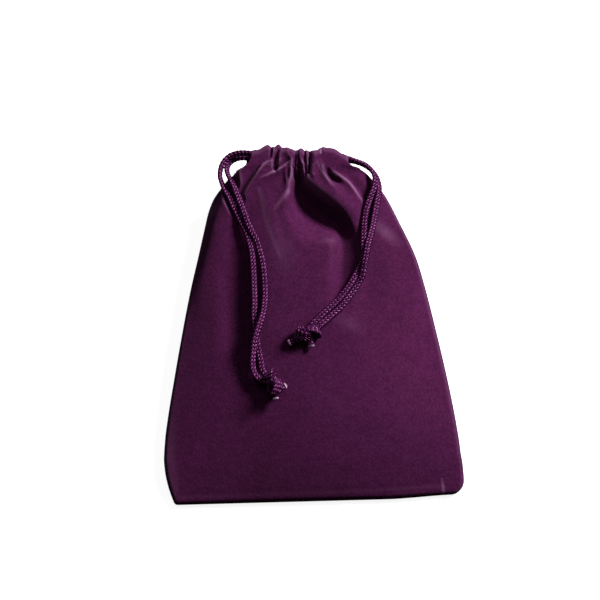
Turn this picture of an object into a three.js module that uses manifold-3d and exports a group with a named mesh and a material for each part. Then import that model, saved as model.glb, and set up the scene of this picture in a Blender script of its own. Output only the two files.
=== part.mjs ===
// Drawstring dice bag: a small velvet pouch lying on its back with the mouth
// drawn closed. Two velvet panels are sewn together along the sides and the
// bottom. The top edge of each panel is turned in and sewn down as a casing,
// and two drawstrings run round through both casings: the left one comes out
// at the left end of the casings, the right one at the right end, and each is
// closed into a loop by a knot.
//
// Millimetres. +X to the bag's right as it lies, +Y towards the mouth, +Z up.
// The origin is under the middle of the bag, on the surface it lies on.

import * as THREE from 'three';
import { mergeVertices } from 'three/addons/utils/BufferGeometryUtils.js';
import Module from 'manifold-3d';

const wasm = await Module();
wasm.setup();

// ---- driving dimensions ---------------------------------------------------
const CLOTH = 1.0;              // velvet, backing and pile together
const HALF_LENGTH = 61.5;       // bottom fold to top fold, halved
const TOUCH = 0.3;              // clearance between pieces that touch
const THREAD = 0.4;             // thickness of a row of stitching
const STITCH_WIDTH = 1.0;
const ALLOWANCE = 6.5;          // seam allowance turned in along sides and bottom
const CORD = 1.9;               // drawstring thickness, as a round of equal section
const CHANNEL = 5.0;            // outer layer to hem layer, measured mid to mid
const HEM_DEPTH = 9.0;          // top fold to the hem's free edge
const HEM_PINCH = 55.3;         // below here the hem closes in on its stitching
const HEM_HALF_WIDTH = 9.5;     // the turned-in hem stops short of the slits
const SLIT_BOTTOM = 50.5;       // the side seams stop here, below the casings
const NECK_X = -2.0;            // the drawn neck leans to the bag's left
const LEAN_START = 18.5;        // height at which that lean begins
const LEAN_END = 46.5;
const BACK_FLOOR = CLOTH / 2;   // mid layer of the back where it rests

// Cross-sections of the filled-out bag from the bottom fold to the mouth.
// frontEdge and backEdge are the heights of the two outer layers at the side,
// frontRise is how far the front stands above its edge in the middle.
const STATIONS = [
  { y: -61.5, halfWidth: 47.6, frontEdge: 5.1, frontRise: 0.3, backEdge: 0.5 },
  { y: -56.0, halfWidth: 49.2, frontEdge: 5.2, frontRise: 2.4, backEdge: 0.6 },
  { y: -47.5, halfWidth: 49.7, frontEdge: 5.5, frontRise: 5.0, backEdge: 0.9 },
  { y: -31.5, halfWidth: 48.0, frontEdge: 6.0, frontRise: 7.8, backEdge: 1.4 },
  { y: -7.5, halfWidth: 43.9, frontEdge: 6.8, frontRise: 9.2, backEdge: 2.2 },
  { y: 18.5, halfWidth: 38.5, frontEdge: 7.6, frontRise: 9.0, backEdge: 3.0 },
  { y: 34.5, halfWidth: 33.5, frontEdge: 8.3, frontRise: 8.3, backEdge: 3.7 },
  { y: 43.5, halfWidth: 30.0, frontEdge: 8.8, frontRise: 7.8, backEdge: 4.0 },
  { y: 48.5, halfWidth: 26.0, frontEdge: 9.0, frontRise: 7.6, backEdge: 3.6 },
  { y: 51.7, halfWidth: 22.2, frontEdge: 12.6, frontRise: 4.2, backEdge: 2.3 },
  { y: 54.3, halfWidth: 19.4, frontEdge: 15.9, frontRise: 0.8, backEdge: 1.4 },
  { y: 61.5, halfWidth: 16.2, frontEdge: 16.0, frontRise: 0.8, backEdge: 1.4 },
];
const ARCH_POWER = 2.6;         // fullness of the front's arch across the bag
const BACK_FLATNESS = 1.25;     // how much of the back lies flat on the surface

// Gathers of the drawn mouth, standing out of the front's outer layer.
const GATHERS = 5;
const GATHER_HEIGHT = 1.1;
const GATHER_START = 30;
const GATHER_FULL = 52;

// The drawstrings lie side by side in the casings.
const LEFT_LANE_Y = 58.7;
const RIGHT_LANE_Y = 56.4;
const FRONT_LANE_Z = 13.7;
const BACK_LANE_Z = 3.5;
const RUN_START = 5.0;          // each run starts this far past the neck's middle
const RUN_TURN = 8.7;           // and turns to the other panel this far past it
const STRAND_START = RUN_START + 0.4;

// ---- colours --------------------------------------------------------------
const VELVET = new THREE.MeshStandardMaterial({ color: 0x4a1a42, roughness: 0.95 });
const THREAD_COLOUR = new THREE.MeshStandardMaterial({ color: 0x3a1234, roughness: 0.8 });
const BRAID = new THREE.MeshStandardMaterial({ color: 0x6a2460, roughness: 0.45 });

// ---- the bag's form -------------------------------------------------------
function smoothstep(from, to, value) {
  const s = THREE.MathUtils.clamp((value - from) / (to - from), 0, 1);
  return s * s * (3 - 2 * s);
}

// Value of one column of STATIONS at any height, on a smooth curve.
function station(y, key) {
  const last = STATIONS.length - 1;
  const clamped = THREE.MathUtils.clamp(y, STATIONS[0].y, STATIONS[last].y);
  let i = 0;
  while (i < last - 1 && STATIONS[i + 1].y < clamped) i += 1;
  const slope = (k) => {
    const a = STATIONS[Math.max(k - 1, 0)];
    const b = STATIONS[Math.min(k + 1, last)];
    return (b[key] - a[key]) / (b.y - a.y);
  };
  const span = STATIONS[i + 1].y - STATIONS[i].y;
  const t = (clamped - STATIONS[i].y) / span;
  const t2 = t * t;
  const t3 = t2 * t;
  return (2 * t3 - 3 * t2 + 1) * STATIONS[i][key]
    + (t3 - 2 * t2 + t) * span * slope(i)
    + (3 * t2 - 2 * t3) * STATIONS[i + 1][key]
    + (t3 - t2) * span * slope(i + 1);
}

function middleX(y) {
  return NECK_X * smoothstep(LEAN_START, LEAN_END, y);
}

function seamZ(y) {
  return (station(y, 'frontEdge') + station(y, 'backEdge')) / 2;
}

// Mid layer of the front's outer cloth; across runs from -1 to 1.
function frontZ(y, across) {
  const arch = 1 - Math.abs(across) ** ARCH_POWER;
  return station(y, 'frontEdge') + station(y, 'frontRise') * arch;
}

function gather(y, across) {
  const fade = 1 - across ** 4;
  const wave = 0.5 - 0.5 * Math.cos(Math.PI * GATHERS * (across + 1));
  return GATHER_HEIGHT * smoothstep(GATHER_START, GATHER_FULL, y) * wave * fade;
}

// Mid layer of the back's outer cloth, flat where the bag rests.
function backZ(y, across) {
  const lie = Math.min(1, BACK_FLATNESS * (1 - Math.abs(across) ** 3));
  const edge = station(y, 'backEdge');
  return edge + (BACK_FLOOR - edge) * lie;
}

// ---- solids from cloth ----------------------------------------------------
// A closed solid of even thickness about a grid of points on its mid layer.
function clothSolid(rows, thickness = CLOTH) {
  const rowCount = rows.length;
  const colCount = rows[0].length;
  const along = new THREE.Vector3();
  const across = new THREE.Vector3();
  const normal = new THREE.Vector3();
  const positions = [];
  for (const side of [0.5, -0.5]) {
    for (let r = 0; r < rowCount; r += 1) {
      for (let c = 0; c < colCount; c += 1) {
        along.subVectors(rows[Math.min(r + 1, rowCount - 1)][c], rows[Math.max(r - 1, 0)][c]);
        across.subVectors(rows[r][Math.min(c + 1, colCount - 1)], rows[r][Math.max(c - 1, 0)]);
        normal.crossVectors(across, along).normalize();
        const p = rows[r][c].clone().addScaledVector(normal, side * thickness);
        positions.push(p.x, p.y, p.z);
      }
    }
  }
  const index = [];
  const at = (side, r, c) => side * rowCount * colCount + r * colCount + c;
  const quad = (a, b, c, d) => index.push(a, b, c, a, c, d);
  for (let r = 0; r < rowCount - 1; r += 1) {
    for (let c = 0; c < colCount - 1; c += 1) {
      quad(at(0, r, c), at(0, r, c + 1), at(0, r + 1, c + 1), at(0, r + 1, c));
      quad(at(1, r, c), at(1, r + 1, c), at(1, r + 1, c + 1), at(1, r, c + 1));
    }
  }
  for (let r = 0; r < rowCount - 1; r += 1) {
    const e = colCount - 1;
    quad(at(0, r, 0), at(0, r + 1, 0), at(1, r + 1, 0), at(1, r, 0));
    quad(at(0, r, e), at(1, r, e), at(1, r + 1, e), at(0, r + 1, e));
  }
  for (let c = 0; c < colCount - 1; c += 1) {
    const e = rowCount - 1;
    quad(at(0, 0, c), at(1, 0, c), at(1, 0, c + 1), at(0, 0, c + 1));
    quad(at(0, e, c), at(0, e, c + 1), at(1, e, c + 1), at(1, e, c));
  }
  const geometry = new THREE.BufferGeometry();
  geometry.setAttribute('position', new THREE.Float32BufferAttribute(positions, 3));
  geometry.setIndex(signedVolume(positions, index) < 0 ? index.reverse() : index);
  return geometry;
}

function signedVolume(positions, index) {
  const corner = (i) => new THREE.Vector3().fromArray(positions, 3 * i);
  let total = 0;
  for (let i = 0; i < index.length; i += 3) {
    const normal = corner(index[i]).cross(corner(index[i + 1]));
    total += normal.dot(corner(index[i + 2]));
  }
  return total;
}

// Joins closed geometries into one solid.
function joined(geometries) {
  const solids = geometries.map((geometry) => {
    const welded = mergeVertices(geometry);
    return new wasm.Manifold(new wasm.Mesh({
      numProp: 3,
      vertProperties: new Float32Array(welded.attributes.position.array),
      triVerts: new Uint32Array(welded.index.array),
    }));
  });
  const mesh = solids.reduce((a, b) => a.add(b)).getMesh();
  const geometry = new THREE.BufferGeometry();
  geometry.setAttribute('position', new THREE.BufferAttribute(mesh.vertProperties, 3));
  geometry.setIndex(new THREE.BufferAttribute(mesh.triVerts, 1));
  return geometry;
}

function steps(from, to, count) {
  return Array.from({ length: count + 1 }, (_, i) => from + ((to - from) * i) / count);
}

// Steps that crowd towards both ends, where the bag's form changes fastest.
function crowdedSteps(from, to, count) {
  return steps(0, 1, count).map((s) => {
    const crowded = (1 - Math.cos(Math.PI * s)) / 2;
    return THREE.MathUtils.lerp(from, to, THREE.MathUtils.lerp(s, crowded, CROWDING));
  });
}

// ---- the velvet panels ----------------------------------------------------
const PANEL_COLUMNS = 20;
const BODY_ROWS = 20;
const CROWDING = 0.65;
const FOLD_ROWS = 6;
const HEM_ROWS = 5;
const ALLOWANCE_ROWS = 12;
const EDGE_INSET = 0.2;         // the outer layer ends just inside the turned-in edge
const NARROWS_FROM = 0.1;       // shares of the top fold between which
const NARROWS_TO = 0.6;         // the cloth narrows to the hem's width
const GATHERS_END = 0.5;        // share of the top fold where the gathers have died out

// Mid layer of one panel's outer cloth, over the top fold and down the hem.
// up is 1 for the front and -1 for the back; zAt gives the outer layer's height.
function hookSheet(up, zAt) {
  const foldRadius = CHANNEL / 2;
  const foldY = HALF_LENGTH - CLOTH / 2 - foldRadius;
  const rows = [];
  const addRow = (y, halfWidth, height) => {
    rows.push(steps(-1, 1, PANEL_COLUMNS).map((across) => {
      const x = middleX(y) + halfWidth * across;
      return new THREE.Vector3(x, y, height(across * (halfWidth / outerHalf(y))));
    }));
  };
  const outerHalf = (y) => station(y, 'halfWidth') - EDGE_INSET;
  for (const y of crowdedSteps(-HALF_LENGTH + CLOTH / 2, foldY, BODY_ROWS)) {
    addRow(y, outerHalf(y), (across) => zAt(y, across) + (up > 0 ? gather(y, across) : 0));
  }
  for (const turn of steps(0, 1, FOLD_ROWS).slice(1)) {
    const angle = Math.PI * turn;
    const y = foldY + foldRadius * Math.sin(angle);
    const narrowing = smoothstep(NARROWS_FROM, NARROWS_TO, turn);
    const half = THREE.MathUtils.lerp(outerHalf(y), HEM_HALF_WIDTH, narrowing);
    const gathered = up > 0 ? 1 - smoothstep(0, GATHERS_END, turn) : 0;
    const drop = foldRadius * (1 - Math.cos(angle));
    addRow(y, half, (across) => (
      zAt(foldY, across) - up * drop + gathered * gather(foldY, across)
    ));
  }
  for (const y of steps(foldY, HALF_LENGTH - HEM_DEPTH, HEM_ROWS).slice(1)) {
    const stitched = CLOTH + 2 * TOUCH + THREAD;
    const pinch = smoothstep(HEM_PINCH, HALF_LENGTH - HEM_DEPTH + STITCH_WIDTH, y);
    const gap = THREE.MathUtils.lerp(CHANNEL, stitched, pinch);
    addRow(y, HEM_HALF_WIDTH, (across) => zAt(y, across) - up * gap);
  }
  return clothSolid(rows);
}

// Seam allowances: turned in from the outer layer's edge, down to the seam.
const ALLOWANCE_MID = THREAD / 2 + TOUCH + CLOTH / 2;
const BOTTOM_STEP = 0.15;       // the bottom allowance lies just outside the side ones
const SIDE_START = 1.2;         // the side allowances start this far above the bottom
const SIDE_STOP = 2.0;          // and stop this far below the slits
const TAPER_LENGTH = 9.0;       // they taper over this length
const TAPER_STOP = 3.0;         // down to their narrowest, this far below the slits
const TAPERED_WIDTH = 1.0;

// How an allowance turns in: distance inwards, and share of the way down.
const TURN_IN = [[0, 0], [0, 0.6], [0.25, 0.92], [0.8, 1]];

function allowanceProfile(width) {
  const turned = TURN_IN[TURN_IN.length - 1][0];
  return [...TURN_IN, [(turned + width) / 2, 1], [width, 1]];
}

function sideAllowance(up, side, zAt) {
  const taperEnd = SLIT_BOTTOM - TAPER_STOP;
  const from = -HALF_LENGTH + SIDE_START;
  const rows = steps(from, SLIT_BOTTOM - SIDE_STOP, ALLOWANCE_ROWS).map((y) => {
    const edgeX = station(y, 'halfWidth') - CLOTH / 2;
    const low = seamZ(y) + up * ALLOWANCE_MID;
    const taper = smoothstep(taperEnd - TAPER_LENGTH, taperEnd, y);
    const width = ALLOWANCE * (1 - taper) + TAPERED_WIDTH;
    return allowanceProfile(width).map(([inward, drop]) => {
      const z = THREE.MathUtils.lerp(zAt(y, 1), low, drop);
      return new THREE.Vector3(middleX(y) + side * (edgeX - inward), y, z);
    });
  });
  return clothSolid(rows);
}

function bottomAllowance(up, zAt) {
  const edgeY = -HALF_LENGTH + CLOTH / 2;
  const half = station(edgeY, 'halfWidth') - CLOTH;
  const rows = allowanceProfile(ALLOWANCE).map(([inward, drop]) => {
    const y = edgeY + inward;
    const low = seamZ(y) + up * (ALLOWANCE_MID + BOTTOM_STEP);
    return steps(-1, 1, ALLOWANCE_ROWS).map((across) => {
      const z = THREE.MathUtils.lerp(zAt(edgeY, across), low, drop);
      return new THREE.Vector3(half * across, y, z);
    });
  });
  return clothSolid(rows);
}

function panel(up, zAt) {
  return joined([
    hookSheet(up, zAt),
    sideAllowance(up, -1, zAt),
    sideAllowance(up, 1, zAt),
    bottomAllowance(up, zAt),
  ]);
}

// ---- stitching ------------------------------------------------------------
const SEAM_LINE = 2.0;          // seam stitching, in from the folded edge
const CORNER_GAP = 1.5;         // between the bottom stitching and the side stitching
const SEAM_STOP = 4.0;          // the side stitching stops this far below the slits
const HEM_STITCH_INSET = 0.2;   // casing stitching, in from the hem's free edge
const HEM_STITCH_WIDTH = 0.6;
const HEM_STITCH_STOP = 0.5;    // and short of the hem's sides
const SIDE_STEPS = 20;
const BOTTOM_STEPS = 8;
const CASING_STEPS = 12;

function sideSeamThread(side) {
  const from = -HALF_LENGTH + SEAM_LINE + CORNER_GAP;
  const rows = steps(from, SLIT_BOTTOM - SEAM_STOP, SIDE_STEPS).map((y) => {
    const x = middleX(y) + side * (station(y, 'halfWidth') - SEAM_LINE);
    return [-STITCH_WIDTH / 2, STITCH_WIDTH / 2].map((offset) => (
      new THREE.Vector3(x + offset, y, seamZ(y))
    ));
  });
  return clothSolid(rows, THREAD);
}

function bottomSeamThread() {
  const y = -HALF_LENGTH + SEAM_LINE;
  const half = station(y, 'halfWidth') - SEAM_LINE - CORNER_GAP;
  const rows = steps(-1, 1, BOTTOM_STEPS).map((across) => [0, STITCH_WIDTH].map((offset) => (
    new THREE.Vector3(half * across, y + offset, seamZ(y + offset))
  )));
  return clothSolid(rows, THREAD);
}

function casingThread(up, zAt) {
  const y = HALF_LENGTH - HEM_DEPTH + HEM_STITCH_INSET;
  const half = HEM_HALF_WIDTH - HEM_STITCH_STOP;
  const rows = steps(-1, 1, CASING_STEPS).map((across) => [0, HEM_STITCH_WIDTH].map((offset) => {
    const share = (across * half) / station(y, 'halfWidth');
    const z = zAt(y + offset, share) - up * (CLOTH / 2 + TOUCH + THREAD / 2);
    return new THREE.Vector3(NECK_X + half * across, y + offset, z);
  }));
  return clothSolid(rows, THREAD);
}

// ---- drawstrings ----------------------------------------------------------
const CORD_SIDES = 8;
const CORD_STEP = 3.6;          // length of one straight facet of a cord
const TURN_STEPS = 8;           // facets of a drawstring's turn at the casings' far end

function cordTube(points) {
  const corners = points.map((p) => new THREE.Vector3(...p));
  const curve = new THREE.CatmullRomCurve3(corners, false, 'centripetal');
  const section = new THREE.Shape();
  for (let i = 0; i < CORD_SIDES; i += 1) {
    const angle = (2 * Math.PI * i) / CORD_SIDES;
    const x = (CORD / 2) * Math.cos(angle);
    const y = (CORD / 2) * Math.sin(angle);
    if (i === 0) section.moveTo(x, y);
    else section.lineTo(x, y);
  }
  section.closePath();
  return new THREE.ExtrudeGeometry(section, {
    extrudePath: curve,
    steps: Math.ceil(curve.getLength() / CORD_STEP),
    bevelEnabled: false,
  });
}

// The part of a drawstring that stays in the casings: along the front, round
// the far end and back along the back panel. side is -1 for the left drawstring.
function casingRun(side, laneY) {
  const radius = (FRONT_LANE_Z - BACK_LANE_Z) / 2;
  const middleZ = (FRONT_LANE_Z + BACK_LANE_Z) / 2;
  const startX = NECK_X + side * RUN_START;
  const turnX = NECK_X - side * RUN_TURN;
  const points = [[startX, laneY, FRONT_LANE_Z], [NECK_X, laneY, FRONT_LANE_Z]];
  for (const angle of steps(Math.PI / 2, -Math.PI / 2, TURN_STEPS)) {
    const x = turnX - side * radius * Math.cos(angle);
    points.push([x, laneY, middleZ + radius * Math.sin(angle)]);
  }
  points.push([NECK_X, laneY, BACK_LANE_Z], [startX, laneY, BACK_LANE_Z]);
  return cordTube(points);
}

// Free strands, from inside the casing to the knot.
const LEFT_FRONT_STRAND = [
  [NECK_X - STRAND_START, LEFT_LANE_Y, FRONT_LANE_Z], [-13.0, LEFT_LANE_Y, FRONT_LANE_Z],
  [-18.4, LEFT_LANE_Y, 13.7], [-20.9, 59.0, 13.5], [-23.4, 58.9, 13.1], [-25.7, 58.2, 12.4],
  [-27.6, 56.4, 12.0], [-28.7, 54.0, 11.8], [-29.0, 51.4, 11.8], [-28.4, 48.6, 12.6],
  [-27.3, 45.7, 13.6], [-25.8, 42.4, 14.7], [-24.5, 39.0, 15.2], [-23.2, 35.9, 15.5],
  [-21.9, 32.8, 16.0], [-20.5, 29.5, 16.4], [-19.4, 26.2, 16.7], [-18.6, 21.6, 16.9],
  [-18.2, 15.5, 17.1], [-18.1, 9.5, 17.1], [-18.1, 3.6, 17.0], [-18.3, -1.2, 16.9],
  [-18.0, -5.4, 16.9], [-17.5, -9.6, 16.8], [-16.9, -13.8, 16.5], [-16.3, -17.4, 16.3],
  [-15.9, -19.8, 16.4], [-14.9, -21.5, 16.7],
];
const LEFT_BACK_STRAND = [
  [NECK_X - STRAND_START, LEFT_LANE_Y, BACK_LANE_Z], [-11.0, LEFT_LANE_Y, BACK_LANE_Z],
  [-14.0, LEFT_LANE_Y, 4.6], [-16.6, LEFT_LANE_Y, 7.2], [-18.8, 58.6, 9.7], [-21.0, 58.5, 10.7],
  [-23.2, 58.2, 10.7], [-25.0, 57.3, 10.6], [-26.2, 55.8, 10.8], [-26.6, 53.8, 11.3],
  [-26.2, 51.4, 12.6], [-25.3, 48.8, 14.2], [-24.2, 46.0, 15.1], [-23.1, 42.9, 15.8],
  [-22.0, 39.5, 16.3], [-20.8, 35.9, 17.1], [-19.6, 31.8, 17.5], [-18.2, 28.5, 17.7],
  [-16.8, 25.4, 17.5], [-15.8, 21.8, 17.4], [-14.9, 17.2, 17.6], [-14.5, 11.3, 17.6],
  [-14.5, 5.3, 17.5], [-15.2, -0.2, 18.5], [-16.7, -5.2, 19.3], [-18.2, -9.6, 18.9],
  [-18.9, -13.6, 17.4], [-19.2, -17.4, 16.6], [-18.8, -20.4, 16.5], [-17.7, -22.4, 16.6],
  [-16.2, -23.6, 16.9],
];
const RIGHT_FRONT_STRAND = [
  [NECK_X + STRAND_START, RIGHT_LANE_Y, FRONT_LANE_Z], [9.0, RIGHT_LANE_Y, FRONT_LANE_Z],
  [15.0, 56.3, 13.4], [17.1, 55.5, 13.4], [19.0, 54.7, 13.5], [20.9, 53.6, 13.8],
  [22.5, 52.0, 14.2], [23.7, 50.0, 14.7], [24.2, 47.9, 15.0], [24.0, 45.8, 15.3],
  [23.5, 43.8, 15.4], [22.6, 41.5, 15.4], [21.6, 39.0, 15.4], [20.6, 35.7, 15.5],
  [20.0, 31.7, 16.0], [19.6, 27.9, 16.4], [19.4, 24.4, 16.6], [19.2, 21.1, 16.8],
  [18.7, 17.8, 17.0], [17.6, 14.9, 17.2], [16.3, 12.3, 17.3], [14.8, 9.8, 17.5],
  [12.7, 6.7, 17.7], [9.9, 3.4, 17.8], [7.6, 1.1, 18.1], [4.6, -1.6, 18.4],
  [2.8, -3.4, 18.6], [1.4, -4.9, 18.7],
];
const RIGHT_BACK_STRAND = [
  [NECK_X + STRAND_START, RIGHT_LANE_Y, BACK_LANE_Z], [7.6, RIGHT_LANE_Y, BACK_LANE_Z],
  [10.4, RIGHT_LANE_Y, 4.7], [12.9, RIGHT_LANE_Y, 7.3], [15.0, 56.2, 9.8], [16.9, 55.7, 10.9],
  [18.9, 55.0, 11.1], [20.9, 53.9, 11.5], [22.8, 52.4, 11.7], [24.2, 50.7, 12.0],
  [25.1, 48.6, 12.4], [25.5, 46.4, 12.9], [25.5, 44.2, 13.5], [25.1, 41.9, 14.0],
  [24.5, 39.3, 14.3], [23.9, 36.5, 14.3], [23.2, 32.9, 15.0], [22.4, 29.1, 16.0],
  [21.4, 25.2, 17.4], [20.5, 21.5, 18.5], [19.8, 17.8, 19.0], [19.1, 14.6, 18.9],
  [18.4, 11.7, 18.1], [17.3, 9.8, 17.5], [15.4, 6.8, 17.4], [12.8, 3.4, 17.6],
  [10.8, 1.0, 17.7], [7.9, -1.6, 18.0], [5.7, -3.6, 18.3], [3.8, -5.3, 18.5],
  [2.6, -6.5, 18.6],
];

// A drawstring's knot: an overhand knot in both strands, drawn tight. Its axis
// follows the strands, from the side where they enter to the cut ends.
const KNOT_LENGTH = 5.4;
const KNOT_WIDTH = 6.4;
const KNOT_END_WIDTH = 4.8;
const KNOT_FLATNESS = 0.74;
const KNOT_RINGS = 6;
const KNOT_SIDES = 12;

function knot(centre, direction) {
  const half = KNOT_LENGTH / 2;
  const profile = [new THREE.Vector2(0, -half)];
  for (const height of steps(-1, 1, KNOT_RINGS)) {
    const swell = Math.sqrt(1 - height ** 2);
    const width = THREE.MathUtils.lerp(KNOT_END_WIDTH, KNOT_WIDTH, swell);
    profile.push(new THREE.Vector2(width / 2, height * half));
  }
  profile.push(new THREE.Vector2(0, half));
  const geometry = new THREE.LatheGeometry(profile, KNOT_SIDES);
  geometry.rotateZ(-Math.PI / 2);
  geometry.scale(1, 1, KNOT_FLATNESS);
  geometry.rotateZ(Math.atan2(direction[1], direction[0]));
  geometry.translate(...centre);
  return geometry;
}

const LEFT_KNOT = { centre: [-12.9, -24.7, 17.5], direction: [0.76, -0.65] };
const RIGHT_KNOT = { centre: [-0.5, -7.9, 19.1], direction: [-0.76, -0.65] };
const LEFT_ENDS = [
  [[-9.3, -26.3, 17.1], [-8.7, -25.9, 17.0], [-7.9, -25.3, 16.8]],
  [[-12.1, -28.5, 16.9], [-12.0, -29.4, 16.8], [-11.9, -30.4, 16.6]],
];
const RIGHT_ENDS = [
  [[-4.0, -9.8, 18.4], [-5.2, -10.4, 18.2], [-6.8, -11.2, 18.0]],
  [[0.5, -11.4, 18.2], [0.6, -12.2, 18.1], [0.7, -13.1, 17.9]],
];

// ---- assembly -------------------------------------------------------------
const bag = new THREE.Group();

function add(name, geometry, material) {
  const mesh = new THREE.Mesh(geometry, material.clone());
  mesh.name = name;
  bag.add(mesh);
}

add('front_panel', panel(1, frontZ), VELVET);
add('back_panel', panel(-1, backZ), VELVET);
add('left_side_seam_thread', sideSeamThread(-1), THREAD_COLOUR);
add('right_side_seam_thread', sideSeamThread(1), THREAD_COLOUR);
add('bottom_seam_thread', bottomSeamThread(), THREAD_COLOUR);
add('front_casing_thread', casingThread(1, frontZ), THREAD_COLOUR);
add('back_casing_thread', casingThread(-1, backZ), THREAD_COLOUR);

function addDrawstring(side, laneY, frontStrand, backStrand, knotPlace, ends) {
  const name = side < 0 ? 'left' : 'right';
  add(`${name}_cord_casing_run`, casingRun(side, laneY), BRAID);
  add(`${name}_cord_front_strand`, cordTube(frontStrand), BRAID);
  add(`${name}_cord_back_strand`, cordTube(backStrand), BRAID);
  add(`${name}_knot`, knot(knotPlace.centre, knotPlace.direction), BRAID);
  add(`${name}_cord_end_a`, cordTube(ends[0]), BRAID);
  add(`${name}_cord_end_b`, cordTube(ends[1]), BRAID);
}

addDrawstring(-1, LEFT_LANE_Y, LEFT_FRONT_STRAND, LEFT_BACK_STRAND, LEFT_KNOT, LEFT_ENDS);
addDrawstring(1, RIGHT_LANE_Y, RIGHT_FRONT_STRAND, RIGHT_BACK_STRAND, RIGHT_KNOT, RIGHT_ENDS);

export default bag;
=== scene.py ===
"""Looks of the drawstring dice bag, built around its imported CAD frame.

Braided drawstrings with overhand knots, two velvet panels gathered into a drawn neck, and
their stitching. Everything is in metres; MM turns the small sizes into them.
"""

import math

import bpy
import numpy as np
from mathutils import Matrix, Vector


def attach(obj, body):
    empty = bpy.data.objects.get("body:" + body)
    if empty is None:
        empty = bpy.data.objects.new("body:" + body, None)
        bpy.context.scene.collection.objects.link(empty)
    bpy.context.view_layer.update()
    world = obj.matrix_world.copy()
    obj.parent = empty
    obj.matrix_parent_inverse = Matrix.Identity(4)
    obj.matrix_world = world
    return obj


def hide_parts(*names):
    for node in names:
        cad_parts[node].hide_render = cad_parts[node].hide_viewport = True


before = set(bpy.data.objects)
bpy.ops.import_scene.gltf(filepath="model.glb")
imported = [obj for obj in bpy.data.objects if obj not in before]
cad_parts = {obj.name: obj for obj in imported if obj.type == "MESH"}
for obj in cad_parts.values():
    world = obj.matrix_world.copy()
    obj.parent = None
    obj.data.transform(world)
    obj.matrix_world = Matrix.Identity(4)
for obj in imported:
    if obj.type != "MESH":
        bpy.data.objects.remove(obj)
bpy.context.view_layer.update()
MM = 0.001

# ---- camera ---------------------------------------------------------------
VIEW_AZIMUTH = math.radians(-1.6)
VIEW_ELEVATION = math.radians(72.0)
VIEW_DISTANCE = 0.8
LENS = 141.15
AIM = Vector((-2.7, 7.0, 8.0)) * MM


def add_camera():
    level = math.cos(VIEW_ELEVATION)
    back = Vector((
        math.sin(VIEW_AZIMUTH) * level,
        -math.cos(VIEW_AZIMUTH) * level,
        math.sin(VIEW_ELEVATION),
    ))
    camera = bpy.data.objects.new("camera", bpy.data.cameras.new("camera"))
    camera.data.lens = LENS
    camera.data.clip_start = 0.01
    camera.location = AIM + back * VIEW_DISTANCE
    camera.rotation_euler = back.to_track_quat("Z", "Y").to_euler()
    bpy.context.scene.collection.objects.link(camera)
    bpy.context.scene.camera = camera


add_camera()


# ---- curves ---------------------------------------------------------------
def smoothstep(start, end, value):
    s = np.clip((value - start) / (end - start), 0, 1)
    return s * s * (3 - 2 * s)


def mix(a, b, share):
    return a + (b - a) * share


def smooth(at, knots, values):
    """Values at any place on a smooth curve through the knots; knots rise."""
    knots = np.asarray(knots, float)
    values = np.asarray(values, float)
    last = len(knots) - 1
    places = np.arange(last + 1)
    before = np.maximum(places - 1, 0)
    after = np.minimum(places + 1, last)
    shape = (-1,) + (1,) * (values.ndim - 1)
    slopes = (values[after] - values[before]) / (knots[after] - knots[before]).reshape(shape)
    at = np.clip(at, knots[0], knots[-1])
    i = np.clip(np.searchsorted(knots, at, side="right") - 1, 0, last - 1)
    span = knots[i + 1] - knots[i]
    t = (at - knots[i]) / span
    if values.ndim > 1:
        span = span[..., None]
        t = t[..., None]
    return (
        (2 * t**3 - 3 * t**2 + 1) * values[i]
        + (t**3 - 2 * t**2 + t) * span * slopes[i]
        + (3 * t**2 - 2 * t**3) * values[i + 1]
        + (t**3 - t**2) * span * slopes[i + 1]
    )


def lengths(points):
    """How far along the line of points each point is."""
    pieces = np.linalg.norm(np.diff(points, axis=0), axis=1)
    return np.concatenate([[0.0], np.cumsum(pieces)])


def smooth_path(points, step):
    """Points about a step apart on a smooth curve through the given ones."""
    points = np.asarray(points, float)
    knots = lengths(points)
    dense = smooth(np.linspace(0, knots[-1], 40 * len(points)), knots, points)
    run = lengths(dense)
    count = max(2, int(round(run[-1] / step)) + 1)
    places = np.linspace(0, run[-1], count)
    return np.stack([np.interp(places, run, dense[:, k]) for k in range(3)], axis=1)


def unit(vectors):
    return vectors / np.maximum(np.linalg.norm(vectors, axis=-1, keepdims=True), 1e-12)


# ---- meshes ---------------------------------------------------------------
def grid_faces(rows, columns, wrap=False, first=0):
    r = np.arange(rows - 1)[:, None]
    c = np.arange(columns if wrap else columns - 1)[None, :]
    a = r * columns + c
    b = r * columns + (c + 1) % columns
    return (np.stack([a, b, b + columns, a + columns], -1).reshape(-1, 4) + first).tolist()


class Shell:
    """Gathers the points and faces of one piece."""

    def __init__(self):
        self.points = []
        self.faces = []
        self.marks = []
        self.count = 0

    def add_tube(self, rings, mark=0):
        """A closed tube through rings of points, rows x sides x 3."""
        rows, sides = rings.shape[:2]
        first = self.count
        faces = grid_faces(rows, sides, wrap=True, first=first)
        ends = rings.mean(axis=1)[[0, -1]]
        self.points.append(rings.reshape(-1, 3))
        self.points.append(ends)
        start = first + rows * sides
        for k in range(sides):
            after = (k + 1) % sides
            faces.append([first + after, first + k, start])
            last = first + (rows - 1) * sides
            faces.append([last + k, last + after, start + 1])
        self.faces += faces
        self.marks += [mark] * len(faces)
        self.count = start + 2

    def build(self, name, materials, slot, body, *nodes):
        mesh = bpy.data.meshes.new(name)
        mesh.from_pydata(np.concatenate(self.points).tolist(), [], self.faces)
        return finish_piece(name, mesh, materials, body, nodes, self.marks)


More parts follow.
